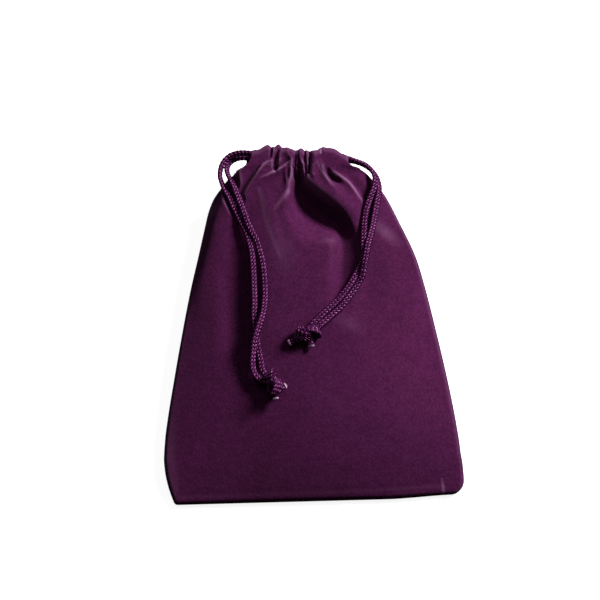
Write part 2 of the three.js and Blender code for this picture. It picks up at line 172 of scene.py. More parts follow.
def finish_piece(name, mesh, materials, body, nodes, marks=None):
    for material in materials:
        mesh.materials.append(material)
    if marks is not None and len(materials) > 1:
        mesh.polygons.foreach_set("material_index", marks)
    mesh.polygons.foreach_set("use_smooth", [True] * len(mesh.polygons))
    mesh.update()
    piece = bpy.data.objects.new(name, mesh)
    bpy.context.scene.collection.objects.link(piece)
    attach(piece, body)
    if nodes:
        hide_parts(*nodes)
    return piece


# ---- materials ------------------------------------------------------------
class Nodes:
    """A small helper to lay out one node material."""

    def __init__(self, name):
        self.material = bpy.data.materials.new(name)
        self.material.use_nodes = True
        self.tree = self.material.node_tree
        self.shader = self.tree.nodes["Principled BSDF"]
        self.where = self.node("ShaderNodeTexCoord").outputs["Object"]

    def node(self, kind, **settings):
        made = self.tree.nodes.new(kind)
        for key, value in settings.items():
            setattr(made, key, value)
        return made

    def link(self, source, target):
        self.tree.links.new(source, target)

    def noise(self, scale, detail=2.0, roughness=0.5):
        noise = self.node("ShaderNodeTexNoise")
        noise.inputs["Scale"].default_value = scale
        noise.inputs["Detail"].default_value = detail
        noise.inputs["Roughness"].default_value = roughness
        self.link(self.where, noise.inputs["Vector"])
        return noise.outputs["Fac"]

    def spread(self, value, low, high, to_low=0.0, to_high=1.0):
        made = self.node("ShaderNodeMapRange")
        for key, number in zip(("From Min", "From Max", "To Min", "To Max"),
                               (low, high, to_low, to_high)):
            made.inputs[key].default_value = number
        self.link(value, made.inputs["Value"])
        return made.outputs["Result"]

    def blend(self, share, first, second):
        """Mixes two colours, each an RGB triple or a socket."""
        made = self.node("ShaderNodeMix", data_type="RGBA")
        sockets = [s for s in made.inputs if s.type == "RGBA"]
        for socket, colour in zip(sockets, (first, second)):
            if isinstance(colour, tuple):
                socket.default_value = (*colour, 1)
            else:
                self.link(colour, socket)
        self.link(share, made.inputs["Factor"])
        return [s for s in made.outputs if s.type == "RGBA"][0]

    def attribute(self, name):
        return self.node("ShaderNodeAttribute", attribute_name=name).outputs["Fac"]

    def bump(self, height, strength, distance, under=None):
        made = self.node("ShaderNodeBump")
        made.inputs["Strength"].default_value = strength
        made.inputs["Distance"].default_value = distance
        self.link(height, made.inputs["Height"])
        if under is not None:
            self.link(under, made.inputs["Normal"])
        return made.outputs["Normal"]

    def set(self, **values):
        for key, value in values.items():
            self.shader.inputs[key.replace("_", " ")].default_value = value


VELVET_DEEP = (0.040, 0.0046, 0.029)
VELVET_LIT = (0.092, 0.0134, 0.069)
# paler colour: mostly painted highlight on fold crests and lit patches; in a small part a real crush mark in
# the pile
VELVET_SHEEN_AND_CRUSH = (0.26, 0.11, 0.23)


def velvet_material():
    """Short-pile velvet: soft patches where the pile leans, a fine grain, a sheen, and a paler colour from a
    mesh attribute: mostly painted highlight on crests and lit patches, in a small part a real crush mark in
    the pile.
    """
    m = Nodes("velvet")
    patches = m.noise(42.0, detail=3.0, roughness=0.6)
    grain = m.noise(1150.0, detail=3.0, roughness=0.75)
    base = m.blend(m.spread(patches, 0.32, 0.70, 0.12, 0.62), VELVET_DEEP, VELVET_LIT)
    clumps = m.noise(360.0, detail=2.0, roughness=0.6)
    clumped = m.blend(m.spread(clumps, 0.56, 0.36, 0.0, 0.50), base, VELVET_DEEP)
    darker = m.blend(m.spread(grain, 0.58, 0.34, 0.0, 0.55), clumped, VELVET_DEEP)
    grained = m.blend(m.spread(grain, 0.46, 0.72, 0.0, 0.65), darker, VELVET_LIT)
    # painted highlight on crests and lit patches, with the pile's crush marks, as the mesh attribute gives
    # it
    sheen_and_crush = m.blend(m.attribute("sheen_and_crush"), grained, VELVET_SHEEN_AND_CRUSH)
    m.link(sheen_and_crush, m.shader.inputs["Base Color"])
    pile = m.bump(grain, 0.5, 0.22 * MM)
    m.link(m.bump(m.noise(260.0, detail=2.0), 0.22, 0.5 * MM, under=pile),
           m.shader.inputs["Normal"])
    m.set(Roughness=0.95, Sheen_Weight=0.34, Sheen_Roughness=0.42,
          Sheen_Tint=(0.62, 0.25, 0.55, 1), Specular_IOR_Level=0.05)
    return m.material


# The second, paler tones are painted sheen: the carriers running one way get them in place of the glint of
# satin yarn, and the other way keeps the cord's dark colour.
YARN_DARK = ((0.019, 0.0008, 0.016), (0.048, 0.003, 0.040))
YARN_PAINTED_SHEEN = ((0.10, 0.010, 0.084), (0.32, 0.09, 0.26))


def cord_material(name, tones, gloss):
    """Satin nylon yarn, with filaments running along and a little colour variation; made once in the cord's
    dark colour and once in a paler copy that is painted sheen.
    """
    m = Nodes(name)
    tone = m.noise(900.0, detail=2.0)
    m.link(m.blend(m.spread(tone, 0.3, 0.7), *tones), m.shader.inputs["Base Color"])
    m.link(m.bump(m.noise(5200.0, detail=1.0), 0.3, 0.05 * MM), m.shader.inputs["Normal"])
    m.set(Roughness=0.34, Specular_IOR_Level=gloss, Specular_Tint=(1.0, 0.5, 0.9, 1))
    return m.material


def tip_material():
    """Cut ends sealed with heat: paler and glossy where the nylon melted."""
    m = Nodes("sealed_nylon")
    tone = m.noise(1500.0, detail=2.0)
    m.link(m.blend(m.spread(tone, 0.35, 0.65), (0.20, 0.07, 0.18), (0.62, 0.42, 0.58)),
           m.shader.inputs["Base Color"])
    m.link(m.bump(m.noise(2500.0), 0.5, 0.12 * MM), m.shader.inputs["Normal"])
    m.set(Roughness=0.25, Specular_IOR_Level=0.6)
    return m.material


def thread_material():
    """Spun polyester sewing thread, a shade darker than the velvet."""
    m = Nodes("sewing_thread")
    twist = m.noise(3500.0, detail=1.0)
    m.link(m.blend(twist, (0.020, 0.003, 0.016), (0.070, 0.014, 0.058)),
           m.shader.inputs["Base Color"])
    m.link(m.bump(twist, 0.4, 0.05 * MM), m.shader.inputs["Normal"])
    m.set(Roughness=0.55, Specular_IOR_Level=0.4)
    return m.material


VELVET = velvet_material()
BRAID = cord_material("braided_nylon", YARN_DARK, 0.12)
# a lit copy of the braid's material: painted sheen
BRAID_PAINTED_SHEEN = cord_material("braided_nylon_painted_sheen", YARN_PAINTED_SHEEN, 0.34)
TIP = tip_material()
THREAD = thread_material()

# ---- drawstrings ----------------------------------------------------------
# Routes from inside the casing to the knot, as part.mjs has them.
LEFT_FRONT_STRAND = [
    (-0.0074, 0.0587, 0.0137), (-0.0130, 0.0587, 0.0137), (-0.0184, 0.0587, 0.0137),
    (-0.0209, 0.0590, 0.0135), (-0.0234, 0.0589, 0.0131), (-0.0257, 0.0582, 0.0124),
    (-0.0276, 0.0564, 0.0120), (-0.0287, 0.0540, 0.0118), (-0.0290, 0.0514, 0.0118),
    (-0.0284, 0.0486, 0.0126), (-0.0273, 0.0457, 0.0136), (-0.0258, 0.0424, 0.0147),
    (-0.0245, 0.0390, 0.0152), (-0.0232, 0.0359, 0.0155), (-0.0219, 0.0328, 0.0160),
    (-0.0205, 0.0295, 0.0164), (-0.0194, 0.0262, 0.0167), (-0.0186, 0.0216, 0.0169),
    (-0.0182, 0.0155, 0.0171), (-0.0181, 0.0095, 0.0171), (-0.0181, 0.0036, 0.0170),
    (-0.0183, -0.0012, 0.0169), (-0.0180, -0.0054, 0.0169), (-0.0175, -0.0096, 0.0168),
    (-0.0169, -0.0138, 0.0165), (-0.0163, -0.0174, 0.0163), (-0.0159, -0.0198, 0.0164),
    (-0.0149, -0.0215, 0.0167),
]
LEFT_BACK_STRAND = [
    (-0.0074, 0.0587, 0.0035), (-0.0110, 0.0587, 0.0035), (-0.0140, 0.0587, 0.0046),
    (-0.0166, 0.0587, 0.0072), (-0.0188, 0.0586, 0.0097), (-0.0210, 0.0585, 0.0107),
    (-0.0232, 0.0582, 0.0107), (-0.0250, 0.0573, 0.0106), (-0.0262, 0.0558, 0.0108),
    (-0.0266, 0.0538, 0.0113), (-0.0262, 0.0514, 0.0126), (-0.0253, 0.0488, 0.0142),
    (-0.0242, 0.0460, 0.0151), (-0.0231, 0.0429, 0.0158), (-0.0220, 0.0395, 0.0163),
    (-0.0208, 0.0359, 0.0171), (-0.0196, 0.0318, 0.0175), (-0.0182, 0.0285, 0.0177),
    (-0.0168, 0.0254, 0.0175), (-0.0158, 0.0218, 0.0174), (-0.0149, 0.0172, 0.0176),
    (-0.0145, 0.0113, 0.0176), (-0.0145, 0.0053, 0.0175), (-0.0152, -0.0002, 0.0185),
    (-0.0167, -0.0052, 0.0193), (-0.0182, -0.0096, 0.0189), (-0.0189, -0.0136, 0.0174),
    (-0.0192, -0.0174, 0.0166), (-0.0188, -0.0204, 0.0165), (-0.0177, -0.0224, 0.0166),
    (-0.0162, -0.0236, 0.0169),
]
RIGHT_FRONT_STRAND = [
    (0.0034, 0.0564, 0.0137), (0.0090, 0.0564, 0.0137), (0.0150, 0.0563, 0.0134),
    (0.0171, 0.0555, 0.0134), (0.0190, 0.0547, 0.0135), (0.0209, 0.0536, 0.0138),
    (0.0225, 0.0520, 0.0142), (0.0237, 0.0500, 0.0147), (0.0242, 0.0479, 0.0150),
    (0.0240, 0.0458, 0.0153), (0.0235, 0.0438, 0.0154), (0.0226, 0.0415, 0.0154),
    (0.0216, 0.0390, 0.0154), (0.0206, 0.0357, 0.0155), (0.0200, 0.0317, 0.0160),
    (0.0196, 0.0279, 0.0164), (0.0194, 0.0244, 0.0166), (0.0192, 0.0211, 0.0168),
    (0.0187, 0.0178, 0.0170), (0.0176, 0.0149, 0.0172), (0.0163, 0.0123, 0.0173),
    (0.0148, 0.0098, 0.0175), (0.0127, 0.0067, 0.0177), (0.0099, 0.0034, 0.0178),
    (0.0076, 0.0011, 0.0181), (0.0046, -0.0016, 0.0184), (0.0028, -0.0034, 0.0186),
    (0.0014, -0.0049, 0.0187),
]
RIGHT_BACK_STRAND = [
    (0.0034, 0.0564, 0.0035), (0.0076, 0.0564, 0.0035), (0.0104, 0.0564, 0.0047),
    (0.0129, 0.0564, 0.0073), (0.0150, 0.0562, 0.0098), (0.0169, 0.0557, 0.0109),
    (0.0189, 0.0550, 0.0111), (0.0209, 0.0539, 0.0115), (0.0228, 0.0524, 0.0117),
    (0.0242, 0.0507, 0.0120), (0.0251, 0.0486, 0.0124), (0.0255, 0.0464, 0.0129),
    (0.0255, 0.0442, 0.0135), (0.0251, 0.0419, 0.0140), (0.0245, 0.0393, 0.0143),
    (0.0239, 0.0365, 0.0143), (0.0232, 0.0329, 0.0150), (0.0224, 0.0291, 0.0160),
    (0.0214, 0.0252, 0.0174), (0.0205, 0.0215, 0.0185), (0.0198, 0.0178, 0.0190),
    (0.0191, 0.0146, 0.0189), (0.0184, 0.0117, 0.0181), (0.0173, 0.0098, 0.0175),
    (0.0154, 0.0068, 0.0174), (0.0128, 0.0034, 0.0176), (0.0108, 0.0010, 0.0177),
    (0.0079, -0.0016, 0.0180), (0.0057, -0.0036, 0.0183), (0.0038, -0.0053, 0.0185),
    (0.0026, -0.0065, 0.0186),
]
# How each flat cord rolls: (share of its length, degrees from lying flat).
LEFT_FRONT_ROLL = [
    (0.0, 90), (0.10, 60), (0.19, 45), (0.26, 55), (0.34, 18), (0.42, 8), (0.52, 8),
    (0.70, 15), (0.85, 12), (1.0, -20),
]
LEFT_BACK_ROLL = [
    (0.0, 90), (0.12, 45), (0.20, 40), (0.27, 55), (0.34, 15), (0.42, 0), (0.52, -8),
    (0.68, 5), (0.85, 35), (1.0, 10),
]
RIGHT_FRONT_ROLL = [
    (0.0, 90), (0.14, 60), (0.30, 40), (0.38, 15), (0.48, -15), (0.62, 12), (0.80, -10), (1.0, 15),
]
RIGHT_BACK_ROLL = [
    (0.0, 90), (0.14, 60), (0.30, 45), (0.40, 25), (0.50, 20), (0.62, -15), (0.80, 15), (1.0, -10),
]

CORD_WIDTH = 2.45 * MM
CORD_HEIGHT = 1.45 * MM
LEAD = 5.12 * MM                # one turn of a carrier round the braid
CARRIERS_EACH_WAY = 4
YARN_WIDTH = 0.86 * MM
YARN_HEIGHT = 0.46 * MM
YARN_RISE = 0.18 * MM           # how far a yarn rises over the one that it crosses
YARN_SIDES = 6
DARK_SHARE = 1.24               # the yarns with painted sheen are thinner than the dark ones
SHEEN_YARN_SHARE = 0.60
BRAID_STEP = 0.15 * MM
UP = np.array([0.0, 0.0, 1.0])
ALONG_Y = np.array([0.0, 1.0, 0.0])


def frames(path, degrees, reference=UP):
    """Sideways and upwards directions along a path, rolled by the given angles."""
    along = unit(np.gradient(path, axis=0))
    upward = unit(reference - (along @ reference)[:, None] * along)
    sideways = np.cross(along, upward)
    roll = np.radians(degrees)[:, None]
    return (
        sideways * np.cos(roll) + upward * np.sin(roll),
        upward * np.cos(roll) - sideways * np.sin(roll),
    )


def flat_section(turn, half_width, half_height):
    """Points and outward normals round a flattened section; turn counts equal lengths."""
    angle = np.linspace(0, 2 * np.pi, 721)
    outline = np.stack([
        half_width * np.sign(np.cos(angle)) * np.abs(np.cos(angle)) ** 0.9,
        half_height * np.sign(np.sin(angle)) * np.abs(np.sin(angle)) ** 0.9,
    ], axis=1)
    run = lengths(outline)
    place = np.mod(turn, 1.0) * run[-1]
    at = np.stack([np.interp(place, run, outline[:, k]) for k in (0, 1)], axis=1)
    normal = unit(at / np.array([half_width, half_height]) ** 2)
    return at, normal


def braid(shell, path, sideways, upward, width=CORD_WIDTH, height=CORD_HEIGHT):
    """Adds a flattened hollow braid along a path, each carrier over one and under one."""
    run = lengths(path)
    mid_width = width / 2 - YARN_HEIGHT / 2 - YARN_RISE
    mid_height = height / 2 - YARN_HEIGHT / 2 - YARN_RISE
    around = np.linspace(0, 2 * np.pi, YARN_SIDES, endpoint=False)
    # carriers running one way take the dark material, those running the other way the copy with painted
    # sheen
    for way, share in ((1, DARK_SHARE), (-1, SHEEN_YARN_SHARE)):
        yarn = YARN_WIDTH * share * width / CORD_WIDTH
        for carrier in range(CARRIERS_EACH_WAY):
            turn = way * run / LEAD + carrier / CARRIERS_EACH_WAY
            at, normal = flat_section(turn, mid_width, mid_height)
            rise = way * YARN_RISE * np.cos(2 * np.pi * CARRIERS_EACH_WAY * turn)
            at = at + normal * rise[:, None]
            centre = path + at[:, :1] * sideways + at[:, 1:] * upward
            out = normal[:, :1] * sideways + normal[:, 1:] * upward
            along = unit(np.gradient(centre, axis=0))
            out = unit(out - (out * along).sum(1, keepdims=True) * along)
            side = np.cross(along, out)
            shell.add_tube(
                centre[:, None]
                + side[:, None] * (np.cos(around) * yarn / 2)[None, :, None]
                + out[:, None] * (np.sin(around) * YARN_HEIGHT / 2)[None, :, None],
                mark=0 if way > 0 else 1,
            )
    core = np.stack([np.cos(around) * mid_width, np.sin(around) * mid_height], axis=1)
    shell.add_tube(
        path[:, None]
        + sideways[:, None] * core[None, :, :1]
        + upward[:, None] * core[None, :, 1:]
    )


def rolls(table, count):
    places, degrees = zip(*table)
    return smooth(np.linspace(0, 1, count), places, degrees)


def strand(name, body, route, roll_table):
    path = smooth_path(route, BRAID_STEP)
    shell = Shell()
    braid(shell, path, *frames(path, rolls(roll_table, len(path))))
    return shell.build(name + "_braid", [BRAID, BRAID_PAINTED_SHEEN], "cord", body, name), path


# The part of each drawstring that stays in the casings, as part.mjs has it.
NECK_X = -2.0 * MM
RUN_START = 5.0 * MM
RUN_TURN = 8.7 * MM
FRONT_LANE_Z = 13.7 * MM
BACK_LANE_Z = 3.5 * MM
LEFT_LANE_Y = 58.7 * MM
RIGHT_LANE_Y = 56.4 * MM
LANE_DIP = 0.5 * MM             # the casing is shallowest in the middle of the neck


def casing_run(name, body, side, lane_y):
    radius = (FRONT_LANE_Z - BACK_LANE_Z) / 2
    middle_z = (FRONT_LANE_Z + BACK_LANE_Z) / 2
    start_x = NECK_X + side * RUN_START
    turn_x = NECK_X - side * RUN_TURN
    low_y = lane_y - LANE_DIP
    points = [(start_x, lane_y, FRONT_LANE_Z), (NECK_X, low_y, FRONT_LANE_Z)]
    for angle in np.linspace(np.pi / 2, -np.pi / 2, 9):
        points.append((
            turn_x - side * radius * math.cos(angle),
            low_y,
            middle_z + radius * math.sin(angle),
        ))
    points += [(NECK_X, low_y, BACK_LANE_Z), (start_x, lane_y, BACK_LANE_Z)]
    path = smooth_path(points, BRAID_STEP)
    shell = Shell()
    braid(shell, path, *frames(path, np.zeros(len(path)), ALONG_Y))
    return shell.build(name + "_braid", [BRAID, BRAID_PAINTED_SHEEN], "cord", body, name)


# ---- knots ----------------------------------------------------------------
ROPE = 2.5 * MM                 # thickness that the two strands together take up
KNOT_BEADS = 74
PAIR_GAP = 0.85 * MM            # each strand's distance from the pair's middle line
KNOT_CORD_WIDTH = 2.2 * MM
KNOT_CORD_HEIGHT = 1.3 * MM
KNOT_PRESS = 0.72               # the knot is pressed this flat where it lies
KNOT_REACH = 3.9 * MM           # the tied part ends this far from the knot's middle
PULL_STEPS = 520
PULL = 0.02                     # how far each end is pulled in a step, in rope thicknesses
BEAD_SPACING = 0.30             # beads of the chain, in rope thicknesses
BEADS_APART = 5                 # beads nearer along the chain than this may touch
KEPT_SPEED = 0.85
TOP_SPEED = 0.1                 # rope thicknesses in a step
SETTLING_ROUNDS = 6
LINK_SHARE = 0.5                # each of two linked beads takes half of the correction
PUSH_SHARE = 0.25               # and each of two beads that touch takes a quarter
STRAIGHTENING = 0.04


def tight_overhand():
    """Middle line of an overhand knot drawn tight, by pulling a chain of beads."""
    t = np.linspace(-2.05, 2.05, KNOT_BEADS)
    line = np.stack([t**3 - 3 * t, t**4 - 4 * t**2, (t**5 - 10 * t) * 0.35], axis=1)
    line -= line.mean(axis=0)
    spacing = BEAD_SPACING * ROPE
    line = smooth_path(line * spacing * KNOT_BEADS / lengths(line)[-1], spacing)[:KNOT_BEADS]
    count = len(line)
    apart = np.abs(np.arange(count)[:, None] - np.arange(count)[None, :])
    first, second = np.nonzero(np.triu(apart >= BEADS_APART))
    pull = unit(line[-1] - line[0])
    speed = np.zeros_like(line)
    for _ in range(PULL_STEPS):
        before = line.copy()
        line = line + KEPT_SPEED * speed
        line[-1] += pull * PULL * ROPE
        line[0] -= pull * PULL * ROPE
        for _ in range(SETTLING_ROUNDS):
            link = line[1:] - line[:-1]
            size = np.linalg.norm(link, axis=1, keepdims=True)
            change = link * (LINK_SHARE * (size - spacing) / size)
            line[:-1] += change
            line[1:] -= change
            gap = line[second] - line[first]
            size = np.linalg.norm(gap, axis=1)
            close = size < ROPE
            push = gap[close] * (PUSH_SHARE * (ROPE - size[close]) / size[close])[:, None]
            np.subtract.at(line, first[close], push)
            np.add.at(line, second[close], push)
        line[1:-1] += STRAIGHTENING * (line[2:] + line[:-2] - 2 * line[1:-1])
        speed = np.clip(line - before, -TOP_SPEED * ROPE, TOP_SPEED * ROPE)
    return line


def knot_line(turned):
    """The tight knot with its axis along X and its middle at the origin, turned about it."""
    line = tight_overhand()
    axis = unit(line[-1] - line[0])
    side = unit(np.cross(axis, UP + 0.3 * ALONG_Y))
    over = np.cross(axis, side)
    line = line - line.mean(axis=0)
    flat = np.stack([line @ axis, line @ side, line @ over], axis=1)
    c = math.cos(turned)
    s = math.sin(turned)
    return flat @ np.array([[1, 0, 0], [0, c, s], [0, -s, c]])


def moving_frames(path, start):
    """Directions beside a path that turn as little as they can along it."""
    along = unit(np.gradient(path, axis=0))
    side = np.zeros_like(path)
    side[0] = unit(start - (start @ along[0]) * along[0])
    for i in range(1, len(path)):
        side[i] = side[i - 1] - (side[i - 1] @ along[i]) * along[i]
        side[i] = unit(side[i])
    return side, np.cross(side, along)


KNOT_TURN = math.radians(35)
KNOT_LINE = knot_line(KNOT_TURN)


def knot(name, body, centre, direction):
    heading = math.atan2(direction[1], direction[0])
    turn = np.array([
        [math.cos(heading), -math.sin(heading), 0],
        [math.sin(heading), math.cos(heading), 0],
        [0, 0, 1],
    ])
    line = KNOT_LINE * np.array([1, 1, KNOT_PRESS])
    inside = np.nonzero(np.abs(line[:, 0]) < KNOT_REACH)[0]
    line = line[inside[0]:inside[-1] + 1]
    path = smooth_path(line @ turn.T + np.array(centre), BRAID_STEP)
    side, over = moving_frames(path, UP)
    shell = Shell()
    for offset in (-1, 1):
        beside = path + offset * PAIR_GAP * side
        braid(shell, beside, side, over, KNOT_CORD_WIDTH, KNOT_CORD_HEIGHT)
    return shell.build(name + "_tied", [BRAID, BRAID_PAINTED_SHEEN], "cord", body, name)


TIP_LENGTH = 0.55 * MM
TIP_START = -0.6                # where the melted plug starts, in tip lengths from the cut
TIP_SWELL = 0.96                # its width as a share of the cord's
TIP_RIPPLE = 0.06
END_ROLLS = (10, -25)           # degrees that the two cut ends roll from lying flat
STRAND_TUCK = 1.0 * MM          # each strand ends this far short of its knot's middle


def cord_end(name, body, route, roll):
    """A cut end: the braid, and a rounded plug of melted yarn on its tip."""
    path = smooth_path(route, BRAID_STEP)
    sideways, upward = frames(path, np.full(len(path), float(roll)))
    shell = Shell()
    braid(shell, path, sideways, upward)
    around = np.linspace(0, 2 * np.pi, 16, endpoint=False)
    heading = unit(path[-1] - path[-3])
    rings = []
    for share in np.linspace(TIP_START, 1.0, 9):
        swell = TIP_SWELL if share < 0 else math.sqrt(max(1 - share**2, 0.01)) * TIP_SWELL
        ripple = 1 + TIP_RIPPLE * np.sin(5 * around + 9 * share)
        rings.append(
            path[-1] + heading * share * TIP_LENGTH
            + np.outer(np.cos(around) * ripple, sideways[-1]) * swell * CORD_WIDTH / 2
            + np.outer(np.sin(around) * ripple, upward[-1]) * swell * CORD_HEIGHT / 2
        )
    shell.add_tube(np.array(rings), mark=2)
    return shell.build(name + "_cut", [BRAID, BRAID_PAINTED_SHEEN, TIP], "cord", body, name)


LEFT_KNOT = {"centre": (-0.0129, -0.0247, 0.0175), "direction": (0.76, -0.65)}
RIGHT_KNOT = {"centre": (-0.0005, -0.0079, 0.0191), "direction": (-0.76, -0.65)}
LEFT_ENDS = [
    [(-0.0112, -0.0262, 0.0174), (-0.0100, -0.0263, 0.0172), (-0.0085, -0.0258, 0.0170)],
    [(-0.0125, -0.0268, 0.0172), (-0.0122, -0.0283, 0.0169), (-0.0119, -0.0300, 0.0166)],
]
RIGHT_ENDS = [
    [(-0.0016, -0.0088, 0.0188), (-0.0032, -0.0095, 0.0186), (-0.0050, -0.0103, 0.0183),
     (-0.0067, -0.0111, 0.0180)],
    [(0.0002, -0.0095, 0.0188), (0.0004, -0.0110, 0.0184), (0.0005, -0.0124, 0.0180)],
]


def drawstring(side, lane_y, front, back, knot_place, ends):
    """One drawstring: its run in the casings, two free strands, their knot and its ends."""
    word = "left" if side < 0 else "right"
    body = word + "_drawstring"
    casing_run(word + "_cord_casing_run", body, side, lane_y)
    tied = knot(word + "_knot", body, knot_place["centre"], knot_place["direction"])
    cut_a = cord_end(word + "_cord_end_a", body, ends[0], END_ROLLS[0])
    cut_b = cord_end(word + "_cord_end_b", body, ends[1], END_ROLLS[1])
    heading = np.append(unit(np.array(knot_place["direction"])), 0.0)
    inside = tuple(np.array(knot_place["centre"]) - STRAND_TUCK * heading)
    for which, (route, roll), cut in (("front", front, cut_a), ("back", back, cut_b)):
        name = f"{word}_cord_{which}_strand"
        piece, path = strand(name, body, route + [inside], roll)
        STRAND_PATHS.append(path)


STRAND_PATHS = []
drawstring(-1, LEFT_LANE_Y, (LEFT_FRONT_STRAND, LEFT_FRONT_ROLL),
           (LEFT_BACK_STRAND, LEFT_BACK_ROLL), LEFT_KNOT, LEFT_ENDS)
drawstring(1, RIGHT_LANE_Y, (RIGHT_FRONT_STRAND, RIGHT_FRONT_ROLL),
           (RIGHT_BACK_STRAND, RIGHT_BACK_ROLL), RIGHT_KNOT, RIGHT_ENDS)

# ---- the bag's form -------------------------------------------------------
HALF_LENGTH = 61.5 * MM
CLOTH = 0.7 * MM
CHANNEL = 5.0 * MM
HEM_DEPTH = 9.0 * MM
STATIONS = MM * np.array([
    # y, half width, front edge, front rise, back edge
    (-61.5, 47.6, 1.8, 0.2, 0.5),
    (-56.0, 49.2, 2.9, 2.1, 0.6),
    (-47.5, 49.7, 4.0, 4.7, 0.9),
    (-31.5, 48.0, 5.3, 7.9, 1.4),
    (-7.5, 43.9, 6.6, 9.4, 2.2),
    (18.5, 38.5, 7.6, 9.0, 3.0),
    (34.5, 33.5, 8.3, 8.3, 3.7),
    (43.5, 30.0, 9.3, 7.4, 4.0),
    (48.5, 26.0, 11.4, 5.4, 3.6),
    (51.7, 22.2, 14.3, 2.6, 2.3),
    (54.3, 19.4, 15.9, 0.8, 1.4),
    (61.5, 16.2, 16.0, 0.8, 1.4),
])
ARCH_POWER = 2.1
BACK_FLATNESS = 1.25
BACK_DROP = 0.5 * MM            # mid layer of the CAD cloth to the back's outer surface
# How far the left and right edges stand out from the stations' half width: (y, distance).
LEFT_EDGE = MM * np.array([
    (-61.5, -1.2), (-57.0, -1.0), (-52.0, -0.4), (-46.0, 0.2), (-38.0, 0.3), (-20.0, 0.0),
    (61.5, 0.0),
])
RIGHT_EDGE = MM * np.array([
    (-61.5, 1.6), (-57.5, 1.5), (-53.0, 0.8), (-47.0, 0.1), (-38.0, 0.0), (61.5, 0.0),
])
LEFT_CORNER = 0.9 * MM          # rounding of the bottom corners
RIGHT_CORNER = 3.2 * MM
RIGHT_CORNER_RISE = 1.0 * MM    # the bottom edge climbs this much to the right corner
SURFACE_LIFT = 0.75 * MM        # mid layer of the CAD cloth to the tips of the pile


def station(y, column):
    return smooth(y, STATIONS[:, 0], STATIONS[:, column])


def middle_x(y):
    return NECK_X * smoothstep(18.5 * MM, 46.5 * MM, y)


def seam_z(y):
    return (station(y, 2) + station(y, 4)) / 2


def front_z(y, across):
    arch = 1 - np.abs(across) ** ARCH_POWER
    return station(y, 2) + station(y, 3) * arch + SURFACE_LIFT


def back_z(y, across):
    lie = np.minimum(1, BACK_FLATNESS * (1 - np.abs(across) ** 3))
    edge = station(y, 4) - BACK_DROP
    return np.maximum(edge * (1 - lie), 0.0)


